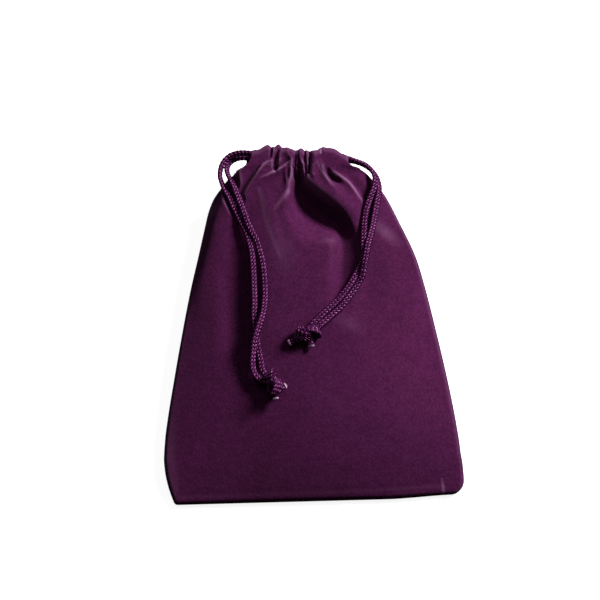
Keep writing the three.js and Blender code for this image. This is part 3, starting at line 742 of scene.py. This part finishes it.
# Folds of the front, from the mouth downwards. crest is the points (x, y, height) along
# the fold, with a height below zero for a hollow. east and west say how far it reaches to
# the bag's right and left: one number where that is the same all along, or else one for
# each point. Millimetres. sharp is 0 for round, 1 for a crease.
FRONT_FOLDS = {
    "hollow": dict(sharp=0.0, east=[2.0, 2.6, 2.8, 2.8, 2.8, 3.2, 4.0, 4.5, 5.0, 5.0],
        west=[2.4, 3.2, 7.0, 12.5, 15.5, 13.5, 8.0, 6.0, 5.5, 5.0],
        crest=[(-1.5, 51.5, -1.5), (-1.8, 48.6, -5.2), (-0.7, 44.6, -6.4), (2.4, 40.4, -6.8),
               (6.9, 36.4, -6.6), (11.7, 32.0, -5.6), (14.0, 27.0, -3.8), (13.2, 19.0, -2.4),
               (11.8, 10.0, -1.2), (9.5, 1.4, 0)]),
    "crease beside the right cords": dict(sharp=0.2, east=[1.3, 1.7, 2.6, 3.6, 4.0], west=3.4,
        crest=[(13.3, 31.5, -0.6), (12.6, 27.0, -2.0), (11.6, 20.0, -1.9), (10.4, 12.0, -1.3),
               (9.2, 4.0, 0)]),
    "valley under the right cords": dict(sharp=0.0, east=8.0, west=3.0,
        crest=[(20.5, 32.0, 0), (20.6, 24.0, -1.3), (20.2, 14.0, -1.6), (18.6, 4.0, -1.3), (15.0, -4.0, 0)]),
    "trough beside the left cords": dict(sharp=0.1, east=3.6, west=8.0,
        crest=[(-23.4, 25.0, 0), (-23.4, 13.0, -1.3), (-23.8, 2.0, -2.0), (-24.0, -10.0, -1.8),
               (-23.0, -24.0, 0)]),
    "lip of the hollow": dict(sharp=0.1, east=7.5, west=4.4,
        crest=[(0.8, 49.8, 0.4), (2.8, 46.2, 1.8), (6.2, 43.0, 3.0), (10.4, 40.0, 3.2), (15.2, 36.6, 2.2),
               (18.8, 33.0, 0)]),
    "left ridge": dict(sharp=0.6, east=5.5, west=1.2,
        crest=[(-9.3, 54.7, 0.2), (-12.9, 53.6, 1.2), (-15.6, 50.8, 1.8), (-17.4, 48.5, 2.0),
               (-19.4, 45.6, 1.8), (-21.6, 41.5, 1.0), (-22.5, 38.2, 0)]),
    "shade beside the left ridge": dict(sharp=0.3, east=1.3, west=3.0,
        crest=[(-12.5, 56.4, 0), (-15.2, 53.4, -0.3), (-17.9, 50.0, -0.8), (-20.2, 46.6, -1.7),
               (-22.0, 43.3, -2.6), (-23.2, 40.4, -2.0), (-24.2, 37.0, 0)]),
    "left shoulder": dict(sharp=0.0, east=4.0, west=5.0,
        crest=[(-19.0, 51.5, 0), (-20.6, 49.5, 0.9), (-22.6, 46.5, 1.0), (-25.0, 42.0, 0)]),
    "left flank": dict(sharp=0.0, east=[6.0, 8.0, 9.5, 9.5, 9.5, 9.5, 9.5], west=3.4,
        crest=[(-22.0, 51.5, 0), (-24.4, 47.5, 1.3), (-27.4, 42.0, 2.9), (-30.0, 36.0, 3.2),
               (-32.8, 27.0, 2.6), (-35.8, 15.0, 1.4), (-39.0, 0.0, 0)]),
    "right shoulder": dict(sharp=0.0, east=4.0, west=6.0,
        crest=[(15.0, 51.5, 0.0), (17.4, 49.0, 0.9), (19.6, 46.0, 1.2), (22.4, 41.0, 0)]),
    "slot": dict(sharp=0.1, east=0.8, west=1.4,
        crest=[(-8.9, 58.2, -0.3), (-9.5, 55.6, -1.5), (-9.8, 53.0, -2.5), (-9.6, 51.4, -1.5)]),
    "rim of the slot": dict(sharp=0.4, east=1.2, west=0.5,
        crest=[(-8.2, 57.2, 0.5), (-8.4, 54.8, 0.7), (-8.7, 52.2, 0.4)]),
    "pucker below the casing": dict(sharp=0.6, east=3.0, west=1.0,
        crest=[(-4.8, 54.0, 0.2), (-6.6, 52.4, 0.7), (-8.8, 51.0, 0.8), (-10.6, 50.4, 0.6),
               (-12.6, 49.2, 0.5), (-14.4, 48.5, 0.2)]),
    "casing stitching, left": dict(sharp=0.2, east=1.2, west=1.5,
        crest=[(-5.6, 54.4, -0.3), (-7.2, 53.2, -0.7), (-9.4, 51.9, -0.7), (-11.4, 51.4, -0.6),
               (-13.6, 50.6, 0)]),
    "notch": dict(sharp=0.3, east=0.8, west=0.9,
        crest=[(-11.2, 61.5, -0.6), (-11.1, 59.6, -0.9), (-11.1, 57.0, -1.0), (-11.6, 55.2, 0)]),
    "edge of the notch": dict(sharp=0.5, east=0.9, west=0.5,
        crest=[(-10.0, 61.0, 0.4), (-10.2, 59.5, 0.6), (-10.6, 56.5, 0.6), (-11.2, 54.9, 0.2)]),
    "middle ridge": dict(sharp=0.6, east=[1.3, 1.3, 1.3, 1.3, 1.3, 1.3, 2.0, 3.0, 3.0], west=2.5,
        crest=[(-6.6, 59.0, 0.3), (-5.2, 56.6, 0.8), (-4.2, 55.0, 1.0), (-4.0, 53.0, 1.2),
               (-4.4, 49.3, 1.6), (-4.9, 46.0, 1.6), (-5.5, 43.0, 1.3), (-7.2, 40.0, 0.8),
               (-10.8, 35.0, 0)]),
    "crease in the middle ridge": dict(sharp=0.3, east=0.7, west=0.7,
        crest=[(-5.7, 51.5, 0), (-5.4, 48.4, -0.3), (-5.7, 45.4, 0)]),
    "second middle ridge": dict(sharp=0.6, east=0.7, west=1.4,
        crest=[(-6.2, 53.4, 0.2), (-6.4, 49.3, 0.6), (-6.2, 45.6, 0.5), (-7.0, 43.0, 0)]),
    "first groove": dict(sharp=0.2, east=1.0, west=0.9,
        crest=[(-2.8, 57.5, -0.1), (-3.3, 54.7, -1.0), (-3.6, 51.8, -2.0), (-3.3, 49.0, -2.4)]),
    "pleat after it": dict(sharp=0.3, east=0.9, west=0.9,
        crest=[(-1.4, 58.0, 0.4), (-1.2, 55.3, 0.9), (-0.8, 53.0, 0.9), (-0.4, 50.0, 0.4)]),
    "second groove": dict(sharp=0.2, east=0.6, west=0.8,
        crest=[(0.4, 60.0, -0.3), (0.4, 57.5, -0.6), (0.3, 55.3, -1.5), (0.6, 51.5, -2.8),
               (0.6, 49.2, -2.4)]),
    "third groove": dict(sharp=0.2, east=0.9, west=0.5,
        crest=[(2.0, 59.0, -0.2), (1.9, 57.0, -0.6), (1.8, 55.0, -1.7), (1.5, 51.3, -2.8),
               (1.4, 49.4, -2.4)]),
    "pleat right of the grooves": dict(sharp=0.1, east=2.0, west=1.6,
        crest=[(3.9, 59.0, 0.5), (3.6, 55.5, 0.9), (3.2, 52.0, 1.2), (3.0, 48.5, 1.0)]),
    "right notch": dict(sharp=0.3, east=0.7, west=0.7,
        crest=[(6.2, 60.5, -0.5), (6.1, 57.8, -0.7), (5.9, 55.6, 0)]),
    "right inner ridge": dict(sharp=0.6, east=1.2, west=2.6,
        crest=[(5.0, 54.6, 0.3), (6.2, 51.4, 1.2), (7.1, 48.2, 1.5), (8.4, 45.8, 1.4), (10.2, 43.7, 1.0),
               (12.4, 41.8, 0.3)]),
    "right valley": dict(sharp=0.2, east=1.5, west=1.2,
        crest=[(7.0, 52.0, 0.0), (8.2, 49.6, -1.5), (9.6, 47.8, -2.6), (11.4, 46.4, -1.6), (13.0, 45.6, 0)]),
    "right outer ridge": dict(sharp=0.6, east=1.1, west=3.6,
        crest=[(8.6, 51.2, 0.0), (10.4, 49.8, 0.8), (13.1, 48.0, 1.5), (15.5, 45.8, 1.6),
               (18.0, 42.3, 1.2), (20.3, 38.6, 0)]),
    "valley beside the right outer ridge": dict(sharp=0.2, east=3.6, west=1.0,
        crest=[(14.4, 48.0, 0.0), (16.8, 45.4, -0.7), (19.3, 42.0, -1.1), (21.4, 38.7, 0)]),
    "long faint ridge": dict(sharp=0.15, east=[2.8, 2.8, 2.6, 2.0, 1.6], west=2.2,
        crest=[(-14.6, 46.5, 0), (-13.4, 41.0, 0.4), (-12.4, 36.5, 0.5), (-10.6, 29.0, 0.4),
               (-8.6, 20.0, 0)]),
    "imprint of the seam allowance": dict(sharp=0.4, east=0.9, west=0.9,
        crest=[(42.0, -34.0, 0), (41.2, -45.0, 0.22), (40.7, -53.0, 0.3), (39.4, -57.0, 0)]),
    "dimple in the left shoulder": dict(sharp=0.0, east=4.0, west=4.5,
        crest=[(-28.6, 40.0, -0.45), (-28.8, 35.0, -0.45)]),
}


# Where the front is painted paler, laid out as the folds are, with the strength, from 0 to 1, in place of
# the height. Mostly painted highlight along crests and painted light on lit patches; the streak at the
# bottom right corner is a real crush mark in the pile.
PAINTED_SHEEN_AND_CRUSH = {
    "left ridge": dict(sharp=0.3, east=0.8, west=0.8,
        crest=[(-22.5, 38.2, 0), (-20.8, 43.0, 0.4), (-19.4, 45.6, 0.5), (-17.4, 48.5, 0.5),
               (-15.6, 50.8, 0.5), (-12.9, 53.6, 0.4), (-10.5, 54.6, 0)]),
    "pucker below the casing": dict(sharp=0.3, east=0.7, west=0.7,
        crest=[(-14.6, 48.6, 0.2), (-12.4, 49.4, 0.4), (-10.4, 50.5, 0.5), (-8.8, 51.1, 0.5),
               (-6.6, 52.4, 0.5), (-5.2, 53.6, 0)]),
    "middle ridge": dict(sharp=0.3, east=0.8, west=0.8,
        crest=[(-4.6, 54.6, 0.1), (-4.4, 52.0, 0.2), (-4.8, 49.0, 0.3), (-5.2, 46.5, 0.3),
               (-5.5, 43.5, 0.3), (-7.2, 40.0, 0)]),
    "right inner ridge": dict(sharp=0.3, east=0.8, west=0.8,
        crest=[(4.6, 53.6, 0.1), (5.6, 50.6, 0.5), (7.0, 47.8, 0.5), (8.6, 45.4, 0.3), (10.6, 43.3, 0)]),
    "right outer ridge": dict(sharp=0.3, east=0.8, west=0.9,
        crest=[(9.4, 50.0, 0.2), (12.4, 48.3, 0.6), (15.5, 45.8, 0.7), (18.0, 42.3, 0.6),
               (19.9, 39.4, 0.2)]),
    "long faint ridge": dict(sharp=0.2, east=[1.2, 1.8, 2.0, 1.6, 0.9], west=[1.0, 1.2, 1.4, 1.2, 0.8],
        crest=[(-15.7, 44.5, 0.12), (-14.9, 41.5, 0.17), (-13.7, 34.9, 0.15), (-12.1, 28.2, 0.16),
               (-8.9, 19.4, 0.1)]),
    "foot of the middle ridge": dict(sharp=0.2, east=1.2, west=1.2,
        crest=[(-5.8, 43.2, 0.3), (-8.9, 39.0, 0.28), (-11.3, 35.7, 0)]),
    "below the faint ridge": dict(sharp=0.0, east=7.0, west=5.0,
        crest=[(-11.0, 31.0, 0.02), (-8.8, 22.0, 0.09), (-7.0, 12.0, 0)]),
    "middle of the bag": dict(sharp=0.0, east=4.5, west=3.0,
        crest=[(8.5, -2.0, 0.03), (14.0, -5.0, 0.1), (20.0, -8.0, 0)]),
    "left shoulder": dict(sharp=0.2, east=2.0, west=1.4,
        crest=[(-34.0, 33.5, 0.05), (-31.4, 38.5, 0.22), (-28.8, 43.0, 0.05)]),
    "right shoulder": dict(sharp=0.1, east=3.5, west=3.0,
        crest=[(23.8, 32.0, 0.1), (27.0, 29.0, 0.24), (31.0, 25.5, 0.05)]),
    "left edge": dict(sharp=0.0, east=3.0, west=2.2,
        crest=[(-46.0, -26.0, 0.0), (-47.6, -44.0, 0.1), (-46.6, -57.5, 0.07)]),
    "bottom edge": dict(sharp=0.2, east=0.8, west=0.8,
        crest=[(43.5, -58.0, 0.1), (20.0, -59.0, 0.08), (0.0, -59.3, 0.06), (-44.0, -59.3, 0.06)]),
    "right notch": dict(sharp=0.2, east=0.7, west=0.7,
        crest=[(5.9, 57.0, 0.7), (6.3, 58.6, 0.9)]),
    # a real crush mark in the pile
    "bottom right corner": dict(sharp=0.2, east=0.5, west=0.5,
        crest=[(42.8, -55.6, 0.2), (43.2, -58.0, 0.9), (43.4, -60.6, 0.9)]),
}


CREASE_SOFTNESS = 0.10          # rounding of the sharpest crest, as a share of its reach


def fold_field(x, y, fold):
    """Height that one fold adds at each point, and how near its crest each point is."""
    crest_table = np.array(fold["crest"], float)
    line = MM * crest_table[:, :2]
    run = lengths(line)
    dense = np.linspace(0, run[-1], max(24, int(run[-1] / (0.25 * MM))))
    crest = smooth(dense, run, line)
    along = unit(np.gradient(crest, axis=0))
    rise = MM * np.interp(dense, run, crest_table[:, 2])
    reaches = {}
    for side in ("east", "west"):
        reaches[side] = MM * np.interp(dense, run, np.broadcast_to(fold[side], len(line)))
    widest = max(reaches["east"].max(), reaches["west"].max())
    low = crest.min(axis=0) - widest
    high = crest.max(axis=0) + widest
    near = (x > low[0]) & (x < high[0]) & (y > low[1]) & (y < high[1])
    height = np.zeros_like(x)
    if not near.any():
        return height
    points = np.stack([x[near], y[near]], axis=1)
    offsets = points[:, None] - crest[None]
    distance = np.linalg.norm(offsets, axis=2)
    closest = distance.argmin(axis=1)
    rows = np.arange(len(points))
    away = distance[rows, closest]
    offset = offsets[rows, closest]
    way = along[closest]
    east = way[:, 0] * offset[:, 1] - way[:, 1] * offset[:, 0] > 0
    reach = np.where(east, reaches["east"][closest], reaches["west"][closest])
    rounded_off = np.sqrt((away / reach) ** 2 + CREASE_SOFTNESS**2) - CREASE_SOFTNESS
    u = np.clip(rounded_off / (math.sqrt(1 + CREASE_SOFTNESS**2) - CREASE_SOFTNESS), 0, 1)
    rounded = (1 - np.clip(away / reach, 0, 1) ** 2) ** 2
    height[near] = rise[closest] * mix(rounded, (1 - u) ** 2, fold["sharp"])
    return height


def relief(x, y, folds):
    return sum(fold_field(x, y, fold) for fold in folds)


# Height of the mouth's fold above the origin along Y, across the neck. Millimetres.
FRONT_RIM = [
    (-22.0, 56.6), (-18.8, 58.2), (-17.2, 59.0), (-15.2, 59.5), (-13.4, 60.7), (-12.2, 61.1),
    (-11.0, 60.4), (-9.9, 60.1), (-9.2, 61.0), (-8.3, 61.0), (-7.4, 59.7), (-5.9, 59.5),
    (-4.2, 59.0), (-2.2, 58.5), (-0.7, 59.1), (0.6, 58.5), (3.4, 57.9), (4.6, 58.2),
    (5.6, 59.2), (6.6, 59.7), (7.8, 59.3), (9.6, 59.1), (10.9, 58.6), (12.7, 57.1), (13.7, 56.4),
    (16.0, 55.4), (19.0, 54.5),
]
BACK_RIM = [
    (-22.0, 59.4), (-17.0, 61.2), (-13.0, 60.6), (-10.0, 61.2), (-6.0, 60.4), (-3.0, 61.0),
    (0.0, 60.2), (4.0, 60.9), (7.0, 60.1), (11.0, 60.4), (15.0, 58.8), (19.0, 57.0),
]


def rim_y(x, rim):
    table = MM * np.array(rim, float)
    return smooth(x, table[:, 0], table[:, 1])


RIM_FROM = 49 * MM              # the rows above this follow the mouth's uneven fold


def drawn_y(x, y, rim):
    return y + (rim_y(x, rim) - HALF_LENGTH) * smoothstep(RIM_FROM, HALF_LENGTH, y)


def front_relief(x, y):
    return relief(x, y, FRONT_FOLDS.values())


def back_relief(x, y):
    """The back's pleats stand up into the bag, because it lies on a surface."""
    full = smoothstep(30 * MM, 54 * MM, y)
    along = x / MM
    turns = (along + 1.5 * np.sin(along / 3.1 + 1.0) + 0.7 * np.sin(along / 1.9)) / 6.1
    wave = 0.5 - 0.5 * np.cos(2 * np.pi * turns)
    depth = 1.0 + 0.45 * np.sin(along / 5.3 + 0.7)
    return 0.95 * MM * full * wave * depth


EDGE_STEPS = 7
BODY_COLUMNS = 230
BODY_ROWS = 250
BOTTOM_ROUND = 1.1 * MM
EDGE_ROUND = 1.4 * MM
SLIT_EDGE_ROUND = 0.7 * MM      # above the slits the edge is a single fold
ALLOWANCE = 6.5 * MM
SLIT_ALLOWANCE = 2.2 * MM
ALLOWANCE_STEPS = 4
FADE = 3.0 * MM                 # folds die out this near to the edge
SLIT_FADE = 1.2 * MM            # and above the slits
FOLD_STEPS = 12
HEM_STEPS = 14
CORNER_TUCK = 1.2 * MM          # the side allowances keep clear of the bottom fold
OPEN_END = 0.9 * MM             # the front's left edge is drawn in this far at the casing
OPEN_SPAN = (54.5 * MM, 57.0 * MM)
ABOVE_SLIT = (47 * MM, 52.0 * MM)
CORNER_SPAN = (24 * MM, 48 * MM)            # across: where the bottom edge climbs
CORNER_HEIGHT = (-61.5 * MM, -48 * MM)      # and how far up it still does
TUCK_HEIGHT = (-61.5 * MM, -57 * MM)
LAYER_GAP = 0.05 * MM           # half of the gap between the panels at the seams
FOLDED_LAYER = 1.5 * MM         # above the slits the turned-in edge lies this far behind
INNER_ALLOWANCE = 0.4 * MM      # the bottom allowance comes this near to the edge
HEM_PINCH = 56.0 * MM           # from here down the casing closes to its stitching
HEM_GAP = 0.6 * MM
HEM_FOLLOW = 3 * MM             # just below the fold the hem keeps the fold's places


def edge_x(side, y, up):
    """Distance of a panel's edge from its middle, on one side, at height y."""
    table = LEFT_EDGE if side < 0 else RIGHT_EDGE
    corner = LEFT_CORNER if side < 0 else RIGHT_CORNER
    out = station(y, 1) + np.interp(y, table[:, 0], table[:, 1])
    short = corner - min(y + HALF_LENGTH, corner)
    out = out - (corner - math.sqrt(max(corner**2 - short**2, 0.0)))
    if up > 0 and side < 0:
        out = out - OPEN_END * smoothstep(*OPEN_SPAN, y)
    return float(out)


def cloth_grid(up, outer_z, relief_at, rim):
    """Outer surface of one panel: allowances turned in, body, over the mouth, hem.

    up is 1 for the front and -1 for the back. Rows run towards the mouth.
    """
    angle = np.linspace(0, np.pi / 2, EDGE_STEPS)[1:]
    body_share = np.linspace(-1, 1, BODY_COLUMNS)
    right_share = np.concatenate([np.cos(angle), np.zeros(ALLOWANCE_STEPS)])
    share = np.concatenate([right_share[::-1], np.ones(BODY_COLUMNS), right_share])
    turned = np.zeros_like(share)
    turned[:ALLOWANCE_STEPS] = 1
    turned[-ALLOWANCE_STEPS:] = 1

    def row(y, bottom_share):
        """One row: y is a number; bottom_share is 0 on the bottom seam and 1 past it."""
        above_slit = smoothstep(*ABOVE_SLIT, y)
        turn = mix(EDGE_ROUND, SLIT_EDGE_ROUND, above_slit)
        tucked = np.linspace(0, mix(ALLOWANCE, SLIT_ALLOWANCE, above_slit), ALLOWANCE_STEPS + 1)[1:]
        left = edge_x(-1, y, up)
        right = edge_x(1, y, up)
        beyond = turn * np.sin(angle)
        x = np.concatenate([
            -np.concatenate([left - turn + beyond, left - tucked])[::-1],
            mix(-(left - turn), right - turn, (body_share + 1) / 2),
            right - turn + beyond, right - tucked,
        ])
        across = np.clip(np.abs(x) / station(y, 1), 0, 1)
        inside = np.where(x < 0, left + x, right - x)
        x = x + middle_x(y)
        lie_y = drawn_y(x, np.full_like(x, y), rim)
        corner = smoothstep(*CORNER_SPAN, x) * (1 - smoothstep(*CORNER_HEIGHT, lie_y))
        lie_y = lie_y + RIGHT_CORNER_RISE * corner
        tuck = CORNER_TUCK * (1 - smoothstep(*TUCK_HEIGHT, y))
        fade = mix(FADE, SLIT_FADE, above_slit)
        outer = outer_z(y, across) + relief_at(x, lie_y) * smoothstep(0, fade, inside)
        seam = seam_z(y) + up * LAYER_GAP
        under = mix(seam, outer - up * FOLDED_LAYER, above_slit)
        return x, lie_y + tuck * turned, mix(under, outer, share * bottom_share)

    rows = []
    # bottom allowance, turned in along the bottom seam
    for inward in np.linspace(ALLOWANCE, INNER_ALLOWANCE, 5):
        x, y, z = row(-HALF_LENGTH, 0.0)
        rows.append(np.stack([x, y + inward, z], axis=1))
    # round the bottom edge
    for bend in np.linspace(0, np.pi / 2, 8):
        x, y, z = row(-HALF_LENGTH + BOTTOM_ROUND * (1 - math.cos(bend)), math.sin(bend))
        rows.append(np.stack([x, y, z], axis=1))
    fold_y = HALF_LENGTH - CHANNEL / 2
    for y in np.linspace(-HALF_LENGTH + BOTTOM_ROUND, fold_y, BODY_ROWS)[1:]:
        rows.append(np.stack(row(y, 1.0), axis=1))
    # over the mouth and down the hem
    x, y, z = row(fold_y, 1.0)
    radius = CHANNEL / 2
    for bend in np.linspace(0, np.pi, FOLD_STEPS)[1:]:
        drop = radius * (1 - math.cos(bend))
        rows.append(np.stack([x, y + radius * math.sin(bend), z - up * drop], axis=1))
    hem_end = HALF_LENGTH - HEM_DEPTH
    fold_x = x
    for y in np.linspace(fold_y, hem_end, HEM_STEPS)[1:]:
        pinch = smoothstep(HEM_PINCH, hem_end + 1.0 * MM, y)
        gap = mix(CHANNEL, CLOTH + HEM_GAP, pinch)
        x, lie_y, z = row(y, 1.0)
        x = mix(x, fold_x, 0.5 * smoothstep(fold_y - HEM_FOLLOW, fold_y, y))
        rows.append(np.stack([x, lie_y, z - up * gap], axis=1))
    return np.array(rows)


SOFTEN_PASSES = 14
GATHERS_START = (43 * MM, 48 * MM)          # the gathers set in over this stretch of y
SHOULDER_START = (13.5 * MM, 16 * MM)       # distance from the neck's middle
SHOULDER_TOP = (54 * MM, 57 * MM)


def soften(grid):
    """Evens out the cloth below the gathers and on the shoulders, away from its edges."""
    z = grid[..., 2]
    inner = slice(EDGE_STEPS + ALLOWANCE_STEPS + 2, -(EDGE_STEPS + ALLOWANCE_STEPS + 2))
    x = grid[..., 0] - NECK_X
    y = grid[..., 1]
    below_gathers = 1 - smoothstep(*GATHERS_START, y)
    shoulders = smoothstep(*SHOULDER_START, np.abs(x)) * (1 - smoothstep(*SHOULDER_TOP, y))
    keep = np.maximum(below_gathers, shoulders)
    rows = slice(20, BODY_ROWS - 4)
    for _ in range(SOFTEN_PASSES):
        around = (
            np.roll(z, 1, axis=0) + np.roll(z, -1, axis=0)
            + np.roll(z, 1, axis=1) + np.roll(z, -1, axis=1)
        ) / 4
        z[rows, inner] = mix(z, around, keep)[rows, inner]
    return grid


PRESS_CLEARANCE = 0.15 * MM
PRESS_TOP = 50 * MM             # above this the strands leave the cloth
PRESS_REACH = 3 * MM
PRESS_WIDTH = 1.2 * MM          # larger is a wider, softer dent beside the strand


def press_under_cords(grid):
    """The cloth stays under the strands that lie on it."""
    clearance = CORD_HEIGHT / 2 + PRESS_CLEARANCE
    x = grid[..., 0]
    y = grid[..., 1]
    z = grid[..., 2]
    for path in STRAND_PATHS:
        free = path[path[:, 1] < PRESS_TOP][::6]
        for px, py, pz in free:
            near = (np.abs(x - px) < PRESS_REACH) & (np.abs(y - py) < PRESS_REACH)
            if not near.any():
                continue
            away = np.hypot(x[near] - px, y[near] - py)
            limit = pz - clearance + (np.maximum(away - CORD_WIDTH / 2, 0) ** 2) / PRESS_WIDTH
            z[near] = np.minimum(z[near], limit)
    return grid


def curvature(grid):
    """How sharply the cloth is bent outwards at each point, in millimetres of height."""
    z = grid[..., 2]
    total = np.zeros_like(z)
    for step in (2, 4):
        around = z.copy()
        for shift in (-step, step):
            around = around + np.roll(z, shift, axis=0) + np.roll(z, shift, axis=1)
        total += (z - around / 5) / step
    return total / MM


SHEEN_BENDS = (0.02, 0.30)    # bend where the painted highlight on crests starts, and is strongest
SHEEN_MOST = 0.38


def cloth(name, grid, node, flip, pale=0.0):
    """A velvet panel from its grid of surface points, thickened inwards, with painted highlight on its
    crests kept in a mesh attribute.
    """
    rows, columns = grid.shape[:2]
    faces = np.array(grid_faces(rows, columns))
    if flip:
        faces = faces[:, ::-1]
    mesh = bpy.data.meshes.new(name)
    mesh.from_pydata(grid.reshape(-1, 3).tolist(), [], faces.tolist())
    attribute = mesh.attributes.new("sheen_and_crush", "FLOAT", "POINT")
    # painted highlight: the more the cloth bends outwards, the paler it is painted; the given pale marks are
    # added to this
    bend = curvature(grid) * (-1 if flip else 1)
    sheen_and_crush = np.clip(smoothstep(*SHEEN_BENDS, bend) * SHEEN_MOST + pale, 0, 1)
    sheen_and_crush[:3] = 0
    sheen_and_crush[-3:] = 0
    attribute.data.foreach_set("value", sheen_and_crush.reshape(-1).astype(np.float32))
    piece = finish_piece(name, mesh, [VELVET], "bag", [node])
    thick = piece.modifiers.new("cloth", "SOLIDIFY")
    thick.thickness = CLOTH
    thick.offset = -1.0
    return piece


# ---- stitching ------------------------------------------------------------
STITCH_LENGTH = 2.2 * MM
STITCH_GAP = 0.5 * MM
THREAD_RADIUS = 0.17 * MM
STITCH_SAG = 0.12 * MM          # a stitch dips at its ends, where it enters the cloth


def stitches(name, line, node):
    """A row of stitches along a line of points."""
    path = smooth_path(line, STITCH_LENGTH / 8)
    run = lengths(path)
    pitch = STITCH_LENGTH + STITCH_GAP
    around = np.linspace(0, 2 * np.pi, 6, endpoint=False)
    shell = Shell()
    for number in range(int(run[-1] / pitch)):
        places = number * pitch + np.linspace(0, STITCH_LENGTH, 7)
        points = np.stack([np.interp(places, run, path[:, k]) for k in range(3)], axis=1)
        share = np.linspace(-1, 1, len(points))
        points[:, 2] -= STITCH_SAG * share**4
        sideways, upward = frames(points, np.zeros(len(points)))
        thin = THREAD_RADIUS * np.sqrt(1.05 - share**8)
        shell.add_tube(
            points[:, None]
            + sideways[:, None] * (thin[:, None] * np.cos(around))[..., None]
            + upward[:, None] * (thin[:, None] * np.sin(around))[..., None]
        )
    return shell.build(name, [THREAD], "thread", "bag", node)


def seam_line(side):
    line = []
    for y in np.linspace(-56.5 * MM, 46.0 * MM, 30):
        x = middle_x(y) + side * (station(y, 1) - 2.0 * MM)
        line.append((float(x), float(y), float(seam_z(y))))
    return line


def bottom_line():
    y = -59.5 * MM
    half = float(station(y, 1)) - 3.5 * MM
    return [(x, y, float(seam_z(y))) for x in np.linspace(-half, half, 12)]


def casing_line(outer_z, relief_at, up):
    """Along the outside of a panel where its hem is sewn down."""
    y = CASING_STITCH_Y
    x = np.linspace(-13.5 * MM, 8.0 * MM, 60)
    across = np.abs(x - NECK_X) / station(y, 1)
    z = outer_z(y, across) + relief_at(x, np.full_like(x, y)) - up * 0.05 * MM
    return np.stack([x, np.full_like(x, y), z], axis=1)


CASING_STITCH_Y = 52.6 * MM
stitches("left_seam_stitches", seam_line(-1), "left_side_seam_thread")
stitches("right_seam_stitches", seam_line(1), "right_side_seam_thread")
stitches("bottom_seam_stitches", bottom_line(), "bottom_seam_thread")
stitches("front_casing_stitches", casing_line(front_z, front_relief, 1), "front_casing_thread")
stitches("back_casing_stitches", casing_line(back_z, back_relief, -1), "back_casing_thread")

# ---- the velvet panels ----------------------------------------------------
front_grid = press_under_cords(soften(cloth_grid(1, front_z, front_relief, FRONT_RIM)))
back_grid = cloth_grid(-1, back_z, back_relief, BACK_RIM)
# the listed pale marks of the front: mostly painted highlight and painted light on lit patches, with a real
# crush mark
pale = relief(front_grid[..., 0], front_grid[..., 1], PAINTED_SHEEN_AND_CRUSH.values()) / MM
front = cloth("front_velvet", front_grid, "front_panel", False, pale)
back = cloth("back_velvet", back_grid, "back_panel", True)


# ---- studio ---------------------------------------------------------------
FLOOR_SIZE = 3.0
FLOOR_GLOW = 0.88               # the photo's ground is white all over
FLOOR_DROP = 0.05 * MM
KEY = {"place": (0.98, 0.70, 0.86), "size": (0.40, 0.40), "power": 38}
FILL = {"place": (-0.15, 0.55, 1.10), "size": (0.9, 0.9), "power": 1.6}
LAMP_AIM = Vector((0, 0, 0.01))
WORLD_STRENGTH = 0.03


def floor_material():
    m = Nodes("pale_floor")
    m.set(Base_Color=(0.85, 0.85, 0.85, 1), Roughness=0.8, Specular_IOR_Level=0.0,
          Emission_Color=(1, 1, 1, 1), Emission_Strength=FLOOR_GLOW)
    return m.material


def add_floor():
    size = FLOOR_SIZE
    mesh = bpy.data.meshes.new("floor")
    mesh.from_pydata([(-size, -size, 0), (size, -size, 0), (size, size, 0), (-size, size, 0)],
                     [], [(0, 1, 2, 3)])
    mesh.materials.append(floor_material())
    floor = bpy.data.objects.new("floor", mesh)
    floor.location.z = -FLOOR_DROP
    bpy.context.scene.collection.objects.link(floor)
    floor.visible_diffuse = False
    floor.visible_glossy = False


def add_area(name, place, size, power):
    light = bpy.data.lights.new(name, "AREA")
    light.shape = "RECTANGLE"
    light.size = size[0]
    light.size_y = size[1]
    light.energy = power
    lamp = bpy.data.objects.new(name, light)
    lamp.location = place
    lamp.rotation_euler = (Vector(place) - LAMP_AIM).to_track_quat("Z", "Y").to_euler()
    bpy.context.scene.collection.objects.link(lamp)


def add_studio():
    add_floor()
    add_area("key", **KEY)
    add_area("fill", **FILL)
    world = bpy.data.worlds.new("studio")
    world.use_nodes = True
    world.node_tree.nodes["Background"].inputs["Color"].default_value = (1, 1, 1, 1)
    world.node_tree.nodes["Background"].inputs["Strength"].default_value = WORLD_STRENGTH
    bpy.context.scene.world = world
    bpy.context.scene.view_settings.view_transform = "Standard"


add_studio()


def rounded(box):
    return [[float(value) for value in corner] for corner in box]
